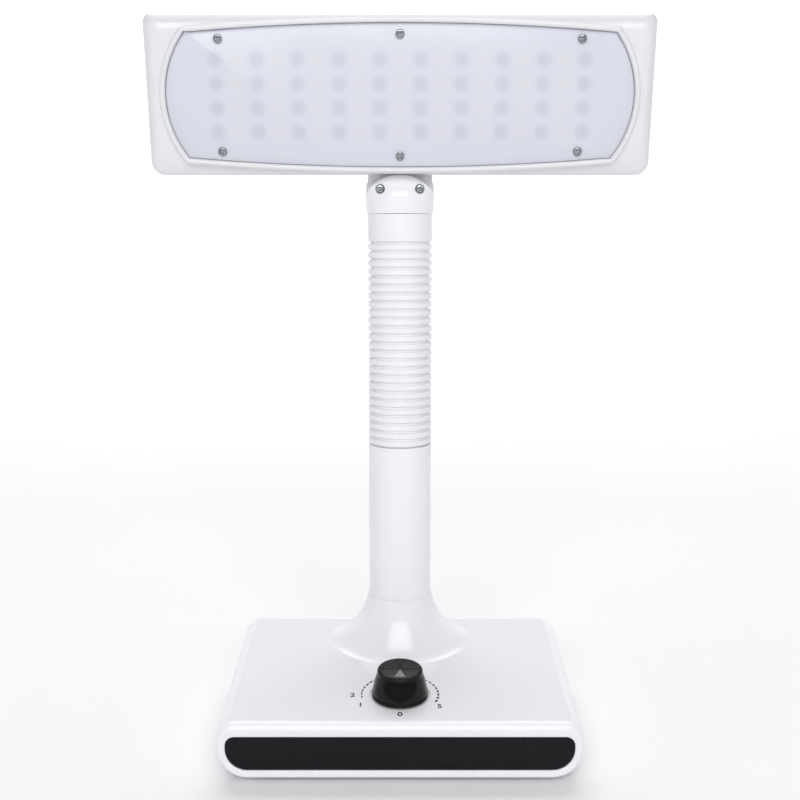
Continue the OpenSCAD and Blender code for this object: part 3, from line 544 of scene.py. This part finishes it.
FLARE_FRONT, FLARE_SIDE, FLARE_BACK = 36.0, 44.0, 27.0
FLARE_TOP, FLARE_RING_R = RING_Z + 3.0, TUBE_R + 0.6
FLARE_SINK, FLARE_SKIRT = 0.02, 1.5  # how far the foot's edge and its hidden skirt lie below
FLARE_WAIST, FLARE_WAIST_TURN = 0.5, 0.9
CROWN_RINGS = ((0.12, -0.08), (0.4, 0.0), (0.55, 0.0))


def build_flare():
    """The flared foot of the tube, from below the base's top to the fine ring under the tube."""
    columns, rows = 144, 40
    foot_z = top_z(TUBE_Y)
    top_turn = math.acos(1 - (RING_Z - foot_z) / (FLARE_TOP - foot_z))
    loops = []
    for k in range(-1, rows + 1):
        t = top_turn * max(k, 0) / rows
        power = 1 + FLARE_WAIST * min(1.0, t / FLARE_WAIST_TURN)
        ring = []
        for c in range(columns):
            a = 2 * math.pi * c / columns
            ahead = FLARE_FRONT if math.cos(a) > 0 else FLARE_BACK
            reach = 1 / math.hypot(math.sin(a) / FLARE_SIDE, math.cos(a) / ahead)
            r = reach - (reach - FLARE_RING_R) * math.sin(t) ** power
            y = TUBE_Y - r * math.cos(a)
            foot = top_z(y) - FLARE_SINK
            z = foot + (FLARE_TOP - foot) * (1 - math.cos(t)) - (FLARE_SKIRT if k < 0 else 0)
            ring.append((r * math.sin(a), y, min(z, RING_Z)))
        loops.append(ring)
    crown = loops[-1]
    for inset, lift in CROWN_RINGS:
        scale = 1 - inset / FLARE_RING_R
        loops.append([(x * scale, TUBE_Y + (y - TUBE_Y) * scale, RING_Z + lift)
                      for x, y, z in crown])
    return loft("tube_foot", loops)


even_normals(add_object("tube_foot", build_flare(), WHITE, "base"))


def build_panel():
    """The dark panel with a soft edge."""
    loops = []
    for inset, deep in PANEL_RINGS:
        outline = box_outline(PANEL_HALF_W - inset, PANEL_LOW + inset, PANEL_HIGH - inset,
                              PANEL_LOW_R - inset, PANEL_UP_R - inset)
        loops.append(at_depth(outline, FRONT_Y + deep))
    return loft("front_panel_face", loops)


even_normals(add_object("front_panel_face", build_panel(), PANEL, "base",
                        ("front_panel",)))

TUBE_FOOT, TUBE_RINGS_Z, TUBE_EDGE_R = 34.0, (60.0, 100.0, TUBE_TOP - 0.7), 0.6
tube_loop = [(TUBE_IN_R, TUBE_FOOT), (TUBE_R, TUBE_FOOT)]
tube_loop += [(TUBE_R, z) for z in TUBE_RINGS_Z]
tube_loop += arc(TUBE_R - TUBE_EDGE_R, TUBE_TOP - TUBE_EDGE_R, TUBE_EDGE_R, 0, 90, 5)
tube_loop += [(TUBE_IN_R, TUBE_TOP)]
add_object("lower_tube_skin", revolve("lower_tube_skin", tube_loop, 128), WHITE,
           "base", ("lower_tube",))


# Head

def lens_outline(inset):
    """Points (x, z) of the rim's outline drawn in by inset, in step with box_outline."""
    end_x, long_z = RIM_HALF_W - END_ARC, LONG_ARC - RIM_HALF_H
    reach_a, reach_b = LONG_ARC - RIM_CORNER_R, END_ARC - RIM_CORNER_R
    apart = math.hypot(end_x, long_z)
    along = (reach_a ** 2 - reach_b ** 2 + apart ** 2) / (2 * apart)
    aside = math.sqrt(reach_a ** 2 - along ** 2)
    ux, uz = end_x / apart, -long_z / apart
    corner_x = along * ux - aside * uz
    corner_z = long_z + along * uz + aside * ux
    low_turn = math.degrees(math.atan2(corner_x, long_z - corner_z))
    end_turn = math.degrees(math.atan2(corner_z, corner_x - end_x))
    long_r, end_r = LONG_ARC - inset, END_ARC - inset
    corner_r = max(RIM_CORNER_R - inset, 0.2)
    points = []
    for cx, cz, r, a0, a1, steps in (
        (0, long_z, long_r, -90 - low_turn, -90 + low_turn, LONG_STEPS),
        (corner_x, corner_z, corner_r, -90 + low_turn, end_turn, CORNER_STEPS),
        (end_x, 0, end_r, end_turn, -end_turn, END_STEPS),
        (corner_x, -corner_z, corner_r, -end_turn, 90 - low_turn, CORNER_STEPS),
        (0, -long_z, long_r, 90 - low_turn, 90 + low_turn, LONG_STEPS),
        (-corner_x, -corner_z, corner_r, 90 + low_turn, 180 + end_turn, CORNER_STEPS),
        (-end_x, 0, end_r, 180 + end_turn, 180 - end_turn, END_STEPS),
        (-corner_x, corner_z, corner_r, 180 - end_turn, 270 - low_turn, CORNER_STEPS),
    ):
        points += [polar(cx, cz, r, a) for a in span(a0, a1, steps)]
    return points


def in_slice(x, z, share):
    """Whether (x, z) lies in the head's outline where its front rounding drew it in by share."""
    half_w = HEAD_W / 2 - DOME_SIDE * share
    low, high = DOME_LOW * share - HEAD_H / 2, HEAD_TOP - DOME_UP * share
    x = abs(x)
    if x > half_w or z < low or z > high:
        return False
    r = HEAD_LOW_R if z < 0 else HEAD_UP_R
    dx = x - (half_w - r)
    dz = (low + r) - z if z < 0 else z - (high - r)
    return not (dx > 0 and dz > 0 and math.hypot(dx, dz) > r)


def front_depth(x, z):
    """Depth of the head's rounded front at (x, z) behind the rim plane."""
    lo, hi = 0.0, 1.0
    if in_slice(x, z, 1.0):
        lo = 1.0
    else:
        for _ in range(30):
            mid = (lo + hi) / 2
            lo, hi = (mid, hi) if in_slice(x, z, mid) else (lo, mid)
    return RIM_LIFT + DOME_D * (1 - math.sqrt(1 - (1 - lo) ** 2))


CAP_GAP, CAP_REACH = 0.3, 5.0  # space over the neck's cap, and how far below its top is lifted
CAP_CLEAR_R, CAP_FADE_R = NECK_R + 0.5, NECK_R + 4.5


def clear_of_cap(mesh):
    """Lifts the head's lower edge over the neck's cap."""
    top = (NECK_Z + CAP_H + CAP_GAP) * MM
    for v in mesh.vertices:
        far = math.hypot(v.co.x, v.co.y - TUBE_Y * MM) / MM
        if top - CAP_REACH * MM < v.co.z < top:
            v.co.z += (top - v.co.z) * soft_step(CAP_FADE_R, CAP_CLEAR_R, far)


SEAT_STEP = (0.25, 1.0)  # the seat under the diffuser: how far in and how far down
BEAD_FOOT = 0.5  # how far outside the rim its bead runs out into the front
FRONT_STEPS = 22
SIDE_MARGIN = 1.5  # flat strip that keeps the shading of the sides apart from their roundings


def build_head():
    """The shell, from the diffuser's seat over the rim's bead and the domed front to the back."""
    bead_r = RIM_W / 2
    loops = [at_depth(lens_outline(RIM_W + SEAT_STEP[0]), SEAT_Y + SEAT_STEP[1]),
             at_depth(lens_outline(RIM_W), SEAT_Y), at_depth(lens_outline(RIM_W), DIFFUSER_Y)]
    for a in range(0, 181, 15):
        inset, lift = polar(bead_r, 0, bead_r, a)
        loops.append(at_depth(lens_outline(inset), bead_r - lift))
    foot = lens_outline(-BEAD_FOOT)
    hull = box_outline(HEAD_W / 2, -HEAD_H / 2, HEAD_TOP, HEAD_LOW_R, HEAD_UP_R)
    deep = [front_depth(x, z) for x, z in foot]
    for inset, lift in ((0.0, 0.55), (-0.16, 0.16), (-BEAD_FOOT, 0.0)):
        loops.append([(x, d - lift, z) for (x, z), d in zip(lens_outline(inset), deep)])
    for k in range(1, FRONT_STEPS):
        t = math.sin(math.pi / 2 * k / FRONT_STEPS)
        row = []
        for (x0, z0), (x1, z1) in zip(foot, hull):
            x, z = x0 + (x1 - x0) * t, z0 + (z1 - z0) * t
            row.append((x, front_depth(x, z), z))
        loops.append(row)
    front_end, back_start = RIM_LIFT + DOME_D, HEAD_D - HEAD_BACK_R
    for y in (front_end, front_end + SIDE_MARGIN, back_start - SIDE_MARGIN):
        loops.append(at_depth(hull, y))
    for a in range(0, 91, 10):
        inset = HEAD_BACK_R * (1 - math.cos(math.radians(a)))
        y = HEAD_D - HEAD_BACK_R * (1 - math.sin(math.radians(a)))
        outline = box_outline(HEAD_W / 2 - inset, inset - HEAD_H / 2, HEAD_TOP - inset,
                              max(HEAD_LOW_R - inset, 2), max(HEAD_UP_R - inset, 2))
        loops.append(at_depth(outline, y))
    mesh = loft("head_shell", loops, TO_HEAD)
    clear_of_cap(mesh)
    return mesh


add_object("head_shell", build_head(), HEAD_WHITE_PAINTED_SHADE, "head", ("head_housing",))

SHEET_GAP = 0.1
# Rings of the diffuser's fine rounded edge: (inset, depth)
SHEET_RINGS = ((0.5, DIFFUSER_Y), (0.15, DIFFUSER_Y + 0.12), (0.0, DIFFUSER_Y + 0.5),
               (0.0, SEAT_Y))
sheet = loft("diffuser_sheet", [at_depth(lens_outline(RIM_W + SHEET_GAP + inset), y)
                                for inset, y in SHEET_RINGS], TO_HEAD)
add_object("diffuser_sheet", sheet, DIFFUSER, "head", ("diffuser",))

SCREW_EDGE_R, SCREW_CROWN, CROWN_STEPS = 0.75, 0.15, 16
# The cross recess: where its side walls and its ends begin and are full, its depth and reach
# as shares of the head's height
CROSS_SIDE, CROSS_END, CROSS_DEPTH, CROSS_FROM = (0.52, 0.28), (1.55, 1.15), 0.5, 0.6


def build_screws(name, places, shank_r, shank_l, head_r, head_t):
    """Pan-head screws with a cross recess, each with its head facing the place's own +Z."""
    columns = 96
    profile = [(0.0, -shank_l), (shank_r, -shank_l), (shank_r, 0.0), (head_r, 0.0),
               (head_r, head_t * 0.35)]
    profile += arc(head_r - SCREW_EDGE_R, head_t - 0.9, SCREW_EDGE_R, 12, 80, 6)
    rim_r, rim_z = profile[-1]
    for k in range(1, CROWN_STEPS + 1):
        share = 1 - k / CROWN_STEPS
        profile.append((rim_r * share, rim_z + SCREW_CROWN * (1 - share ** 2)))
    bm = bmesh.new()
    for place in places:
        rings = []
        for c in range(columns):
            a = 2 * math.pi * c / columns
            ring = []
            for r, z in profile:
                x, y = r * math.cos(a), r * math.sin(a)
                if z > head_t * CROSS_FROM:
                    near, far = min(abs(x), abs(y)), max(abs(x), abs(y))
                    depth = soft_step(*CROSS_SIDE, near) * soft_step(*CROSS_END, far)
                    z -= head_t * CROSS_DEPTH * depth
                ring.append(bm.verts.new(place @ Vector((x * MM, y * MM, z * MM))))
            rings.append(ring)
        for c in range(columns):
            here, after = rings[c], rings[(c + 1) % columns]
            for i in range(len(profile) - 1):
                bm.faces.new((here[i], after[i], after[i + 1], here[i + 1]))
    bmesh.ops.remove_doubles(bm, verts=bm.verts, dist=1e-6)
    bmesh.ops.dissolve_degenerate(bm, edges=bm.edges, dist=1e-7)
    return new_mesh(bm, name)


def driven(radians):
    """A screw facing out of the front, turned as far as it was driven in."""
    return OUTWARD @ Matrix.Rotation(radians, 4, "Z")


SHEET_SCREW_X, SHEET_SCREW_Z, SHEET_SCREW_MID_Z = 95.8, 29.0, 31.4
SHEET_SCREWS = [(sx * SHEET_SCREW_X, sz * SHEET_SCREW_Z) for sx in (-1, 1) for sz in (-1, 1)]
SHEET_SCREWS += [(0.0, SHEET_SCREW_MID_Z), (0.0, -SHEET_SCREW_MID_Z)]
places = [TO_HEAD @ move_to(x, DIFFUSER_Y, z) @ driven(0.5 + 0.7 * k)
          for k, (x, z) in enumerate(SHEET_SCREWS)]
screws = build_screws("sheet_screws", places, shank_r=1.3, shank_l=10.2, head_r=2.4, head_t=1.5)
add_object("sheet_screws", screws, STEEL, "head", ("diffuser_screws",))

CAP_SCREW_X, CAP_SCREW_UP, CAP_SEAT = 10.9, 13.2, 12.4
places = [move_to(sx * CAP_SCREW_X, TUBE_Y - CAP_SEAT, NECK_Z + CAP_SCREW_UP)
          @ driven(0.3 + 0.9 * sx) for sx in (-1, 1)]
screws = build_screws("clamp_screws", places, shank_r=1.5, shank_l=18.0, head_r=2.4, head_t=1.7)
add_object("clamp_screws", screws, STEEL, "head", ("cap_screws",))
moulded("neck_cap", "neck_cap_shell", WHITE, "head")
moulded("neck_rear", "neck_rear_shell", WHITE, "head")


# Ribbed sleeve

GROOVE_GAP = (RIB_PITCH - RIB_W) / 2
FILLET_W, FILLET_H = RIB_ROUND * 0.6, RIB_ROUND * 0.24
COLLAR_EDGE_R, BORE_STEPS = 0.3, 8


def rib(z):
    """Outer profile of one rib whose lower groove is centred at z, from groove to groove."""
    low = z + GROOVE_GAP
    high = low + RIB_W
    points = [(GROOVE_R, z)]
    points += arc(GROOVE_R + FILLET_W, low - FILLET_H, FILLET_H, 180, 90, 2)[1:]
    points += arc(TUBE_R - RIB_ROUND, low + RIB_ROUND, RIB_ROUND, -90, 0, 6)
    points += arc(TUBE_R - RIB_ROUND, high - RIB_ROUND, RIB_ROUND, 0, 90, 6)
    points += arc(GROOVE_R + FILLET_W, high + FILLET_H, FILLET_H, -90, -180, 2)[:-1]
    return points


def sleeve_loop(z0, ribs, collar_top=None):
    """Profile of a stretch of the sleeve, which may end in the plain collar."""
    outer = []
    for k in range(ribs):
        outer += rib(z0 + k * RIB_PITCH)
    last = z0 + ribs * RIB_PITCH
    outer.append((GROOVE_R, last))
    if collar_top is not None:
        low = last + GROOVE_GAP
        outer += arc(TUBE_R - RIB_ROUND, low + RIB_ROUND, RIB_ROUND, -90, 0, 6)
        outer += arc(TUBE_R - COLLAR_EDGE_R, collar_top - COLLAR_EDGE_R, COLLAR_EDGE_R, 0, 90, 4)
        last = collar_top
    inner = [(SLEEVE_BORE, last + (z0 - last) * k / BORE_STEPS) for k in range(BORE_STEPS + 1)]
    return outer + inner


# The ends of each part are listed with the bodies next to them, the fourth part's from its upper
# end;
# nothing reads the list, and the parts are not tied to the bodies
TURNED_PART = 4
BODIES = ["base"] + [f"neck_{i}" for i in range(1, LINKS + 1)] + ["head"]
SLEEVE_NODES = ["sleeve_lower_end"] + [f"sleeve_{i}" for i in range(1, LINKS + 1)]
for i in range(1, LINKS + 2):
    z0 = TUBE_TOP + (2 * i - 2) * RIB_PITCH
    z1 = z0 + 2 * RIB_PITCH
    mesh = revolve(f"sleeve_part_{i}", sleeve_loop(z0, 2))
    piece = add_object(f"sleeve_part_{i}", mesh, SLEEVE, None,
                       (SLEEVE_NODES[i - 1],))
    ends = [(BODIES[i - 1], (0, TUBE_Y * MM, z0 * MM)), (BODIES[i], (0, TUBE_Y * MM, z1 * MM))]
    if i == TURNED_PART:
        ends.reverse()
    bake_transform(piece)
mesh = revolve("sleeve_collar", sleeve_loop(TUBE_TOP + 24 * RIB_PITCH, 1, COLLAR_TOP))
add_object("sleeve_collar", mesh, SLEEVE, "head", ("sleeve_upper_end",))


# Knob

KNOB_R, KNOB_TOP_R, KNOB_H, KNOB_BORE = 15.25, 12.3, 15.5, 9.2
SKIRT_R, SKIRT_EDGE, SKIRT_LOW = KNOB_R - 0.3, 0.3, 0.2
TOP_ROUND = 1.5
SIDE_LOW, SIDE_HIGH, SIDE_FOOT_R, SIDE_BULGE = 2.1, KNOB_H - TOP_ROUND, KNOB_R - 0.25, 2.6
SCOOPS, SCOOP_TURN, SCOOP_DEPTH = 4, math.radians(41), 0.85
SCOOP_START, SCOOP_SPREAD, SCOOP_TOP_FADE = 0.06, 0.5, 0.1  # as shares of the side's height
SCOOP_PAINTED_SHADE_RISE = 4  # how steeply the painted shade of a scoop sets in at its edge
DISH, DISH_R = 0.6, 10.8
CREASE_W, CREASE_DEPTH = 0.35, 0.22
NOTCH_W, NOTCH_DEPTH, NOTCH_START, NOTCH_END, NOTCH_FADE = 0.45, 0.5, 0.4, 5.5, 0.8


def side_share(z):
    return (z - SIDE_LOW) / (SIDE_HIGH - SIDE_LOW)


def knob_side(z):
    """Radius of the bulging side between the scoops."""
    return SIDE_FOOT_R + (KNOB_TOP_R - SIDE_FOOT_R) * side_share(z) ** SIDE_BULGE


def knob_profile():
    """(radius, height) from the inner foot over the skirt to the middle of the top."""
    points = [(KNOB_BORE, SKIRT_LOW), (SKIRT_R, SKIRT_LOW)]
    points += arc(SKIRT_R, 0.5, SKIRT_EDGE, -60, 0, 3)
    points += arc(SKIRT_R, 1.1, SKIRT_EDGE, 0, 60, 3)
    points += [(KNOB_R - 0.55, 1.75)]
    for k in range(41):
        z = SIDE_LOW + (SIDE_HIGH - SIDE_LOW) * k / 40
        points.append((knob_side(z), z))
    points += arc(KNOB_TOP_R - TOP_ROUND, KNOB_H - TOP_ROUND, TOP_ROUND, 30, 90, 8)
    points += [((KNOB_TOP_R - TOP_ROUND) * (1 - k / 18), KNOB_H) for k in range(1, 18)]
    return points


def scoop(angle, z):
    """Depth of the U-shaped scoops in the knob's side, widest under its top."""
    u = side_share(z)
    if not SCOOP_START < u < 1:
        return 0.0
    pitch = 2 * math.pi / SCOOPS
    off = abs((angle + pitch / 2) % pitch - pitch / 2)
    width = min(1.0, (u - SCOOP_START) / SCOOP_SPREAD) ** 0.5
    across = max(0.0, 1 - (off / (SCOOP_TURN * width)) ** 2)
    return SCOOP_DEPTH * across * min(1.0, (1 - u) / SCOOP_TOP_FADE) * width


def knob_top(x, y):
    """Height of the dished top with its crease from side to side."""
    dish = DISH * (1 - min(1.0, math.hypot(x, y) / DISH_R) ** 2)
    return KNOB_H - dish - CREASE_DEPTH * math.exp(-(y / CREASE_W) ** 2)


def notch(x, y):
    """Depth of the short notch behind the middle of the top."""
    if y <= NOTCH_START:
        return 0.0
    fade = 1.0 if y < NOTCH_END else math.exp(-((y - NOTCH_END) / NOTCH_FADE) ** 2)
    return NOTCH_DEPTH * math.exp(-(x / NOTCH_W) ** 2) * fade


def build_knob():
    profile = knob_profile()
    columns, count = 288, len(profile)
    middle = columns * count
    verts, faces, painted_scoop_shade = [], [], []
    for c in range(columns):
        a = 2 * math.pi * c / columns
        here, after = c * count, (c + 1) % columns * count
        for r, z in profile:
            depth = scoop(a, z)
            # painted shade: a scoop's depth darkens the knob's colour there
            painted_scoop_shade.append(min(1.0, SCOOP_PAINTED_SHADE_RISE * depth / SCOOP_DEPTH))
            r -= depth
            x, y = r * math.sin(a), -r * math.cos(a)
            if z >= KNOB_H - 0.001:
                z = knob_top(x, y) - notch(x, y)
            verts.append((x * MM, y * MM, z * MM))
        for i in range(count - 1):
            faces.append((here + i, after + i, after + i + 1, here + i + 1))
        faces.append((here + count - 1, after + count - 1, middle))
    verts.append((0, 0, knob_top(0, 0) * MM))
    painted_scoop_shade.append(0.0)
    mesh = skin("knob_cap", verts, faces, 50, scoop=painted_scoop_shade)
    mesh.transform(TO_TOP)
    return mesh


add_object("knob_cap", build_knob(), KNOB, "knob", ("knob",))

POINTER_L, POINTER_HALF_W, POINTER_LIFT, POINTER_T = 8.6, 3.0, 0.04, 0.4


def build_pointer():
    """A triangle that follows the knob's dished top, a hair above it."""
    rows, half_columns = 16, 3
    bm = bmesh.new()
    grid = []
    for i in range(rows + 1):
        t = i / rows
        y = -t * POINTER_L
        row = []
        for k in range(-half_columns, half_columns + 1):
            x = POINTER_HALF_W * t * k / half_columns
            row.append(bm.verts.new((x * MM, y * MM, (knob_top(x, y) + POINTER_LIFT) * MM)))
        grid.append(row)
    for here, after in zip(grid, grid[1:]):
        for k in range(2 * half_columns):
            bm.faces.new((here[k], here[k + 1], after[k + 1], after[k]))
    bmesh.ops.remove_doubles(bm, verts=bm.verts, dist=1e-7)
    bmesh.ops.recalc_face_normals(bm, faces=bm.faces)
    out = bmesh.ops.extrude_face_region(bm, geom=list(bm.faces))
    lower = [g for g in out["geom"] if isinstance(g, bmesh.types.BMVert)]
    bmesh.ops.translate(bm, verts=lower, vec=(0, 0, -POINTER_T * MM))
    mesh = new_mesh(bm, "knob_mark")
    mesh.transform(TO_TOP)
    return mesh


add_object("knob_mark", build_pointer(), POINTER, "knob", ("knob_pointer",))


# Dial print

DASH_R, DASH_PITCH, PRINT_LIFT = 20.7, 9.5, 0.05
# The dashes of each side: how many, angle of the first, way round, length, width and its change
DASH_ROWS = ((7, 82, 1, 6.4, 0.7, 0.07), (8, 290, -1, 6.0, 1.3, -0.07))
NUMBER_SIZE, NUMBER_BOLD, NUMBER_T = 5.6, 0.12, 0.02
NUMBERS = (("off", "0", 0.0, -20.6), ("low", "1", -21.0, -11.0), ("half", "2", -25.6, -1.0),
           ("full", "5", 21.0, -12.5))


def print_dash(bm, angle, length, width):
    """One dash of the dial; angles are degrees, clockwise from the front."""
    steps = 6
    rows = []
    for k in range(steps + 1):
        a = math.radians(angle + length * (k / steps - 0.5))
        rows.append([bm.verts.new((-r * math.sin(a) * MM, -r * math.cos(a) * MM, PRINT_LIFT * MM))
                     for r in (DASH_R - width / 2, DASH_R + width / 2)])
    for here, after in zip(rows, rows[1:]):
        bm.faces.new((here[0], after[0], after[1], here[1]))


def build_dashes():
    bm = bmesh.new()
    for count, first, way, length, width, change in DASH_ROWS:
        for k in range(count):
            print_dash(bm, first + way * k * DASH_PITCH, length, width + change * k)
    mesh = new_mesh(bm, "dial_dashes")
    mesh.transform(TO_TOP)
    return mesh


add_object("dial_dashes", build_dashes(), PRINT, "base")


def build_number(text, x, y):
    curve = bpy.data.curves.new("number", "FONT")
    curve.body = text
    curve.size = NUMBER_SIZE * MM
    curve.align_x = "CENTER"
    curve.align_y = "CENTER"
    curve.offset = NUMBER_BOLD * MM
    curve.extrude = NUMBER_T * MM
    holder = bpy.data.objects.new("number", curve)
    bpy.context.scene.collection.objects.link(holder)
    mesh = evaluated_mesh(holder)
    bpy.data.objects.remove(holder)
    bpy.data.curves.remove(curve)
    mesh.transform(TO_TOP @ move_to(x, y, PRINT_LIFT))
    return mesh


for label, text, x, y in NUMBERS:
    add_object(f"dial_{label}", build_number(text, x, y), PRINT, "base")


# Stage, in metres

FLOOR_MIDDLE, FLOOR_FLAT, FLOOR_CURVE = 0.6, 1.1, 1.0


def build_floor():
    """A wide pale round floor that curves up all round, far outside the lamp."""
    rim = [(FLOOR_MIDDLE, 0.0), (FLOOR_FLAT, 0.0)]
    rim += [polar(FLOOR_FLAT, FLOOR_CURVE, FLOOR_CURVE, a - 90) for a in range(5, 91, 5)]
    count = 96
    verts = [(*polar(0, 0, r, 360 * k / count), z) for r, z in rim for k in range(count)]
    faces = [tuple(range(count))]
    for i in range(len(rim) - 1):
        for k in range(count):
            n = (k + 1) % count
            faces.append((i * count + k, (i + 1) * count + k, (i + 1) * count + n, i * count + n))
    mesh = bpy.data.meshes.new("floor")
    mesh.from_pydata(verts, [], faces)
    for p in mesh.polygons:
        p.use_smooth = True
    mesh.materials.append(material("floor_white", (0.86, 0.86, 0.87), (0.88, 0.88, 0.89),
                                   0.8, 0.9, 200, 0.02, patch=3.0))
    obj = bpy.data.objects.new("floor", mesh)
    bpy.context.scene.collection.objects.link(obj)


build_floor()

LAMP_MIDDLE = (0, 0.03, 0.2)


def softbox(name, place, target, width, height, power):
    lamp = bpy.data.lights.new(name, "AREA")
    lamp.shape = "RECTANGLE"
    lamp.size, lamp.size_y = width, height
    lamp.energy = power
    obj = bpy.data.objects.new(name, lamp)
    obj.location = place
    obj.rotation_mode = "QUATERNION"
    obj.rotation_quaternion = (Vector(target) - Vector(place)).to_track_quat("-Z", "Y")
    bpy.context.scene.collection.objects.link(obj)


softbox("key", (0.0, -1.55, 1.1), LAMP_MIDDLE, 1.4, 0.9, 18)
softbox("left", (-1.5, -0.9, 0.8), LAMP_MIDDLE, 0.7, 1.2, 0.1)
softbox("right", (1.5, -0.9, 0.8), LAMP_MIDDLE, 0.7, 1.2, 0.1)
softbox("back", (0.0, 1.35, 2.2), (0, 1.6, 0.3), 2.6, 1.2, 35)
softbox("top", (0.0, 0.2, 2.4), (0, 0.2, 0.0), 1.8, 1.8, 15)

world = bpy.data.worlds.new("studio")
world.use_nodes = True
background = world.node_tree.nodes["Background"]
background.inputs["Color"].default_value = (0.97, 0.97, 1.0, 1)
background.inputs["Strength"].default_value = 0.17
bpy.context.scene.world = world
bpy.context.scene.view_settings.view_transform = "Standard"

# The camera that fits the photograph
CAMERA_BACK, CAMERA_UP, CAMERA_DOWN = 0.635, 0.288, 9.15
camera = bpy.data.cameras.new("camera")
camera.lens = 50
camera.sensor_width = 36
camera_obj = bpy.data.objects.new("camera", camera)
camera_obj.location = (0.0, TUBE_Y * MM - CAMERA_BACK, CAMERA_UP)
camera_obj.rotation_euler = (math.radians(90 - CAMERA_DOWN), 0, 0)
bpy.context.scene.collection.objects.link(camera_obj)
bpy.context.scene.camera = camera_obj
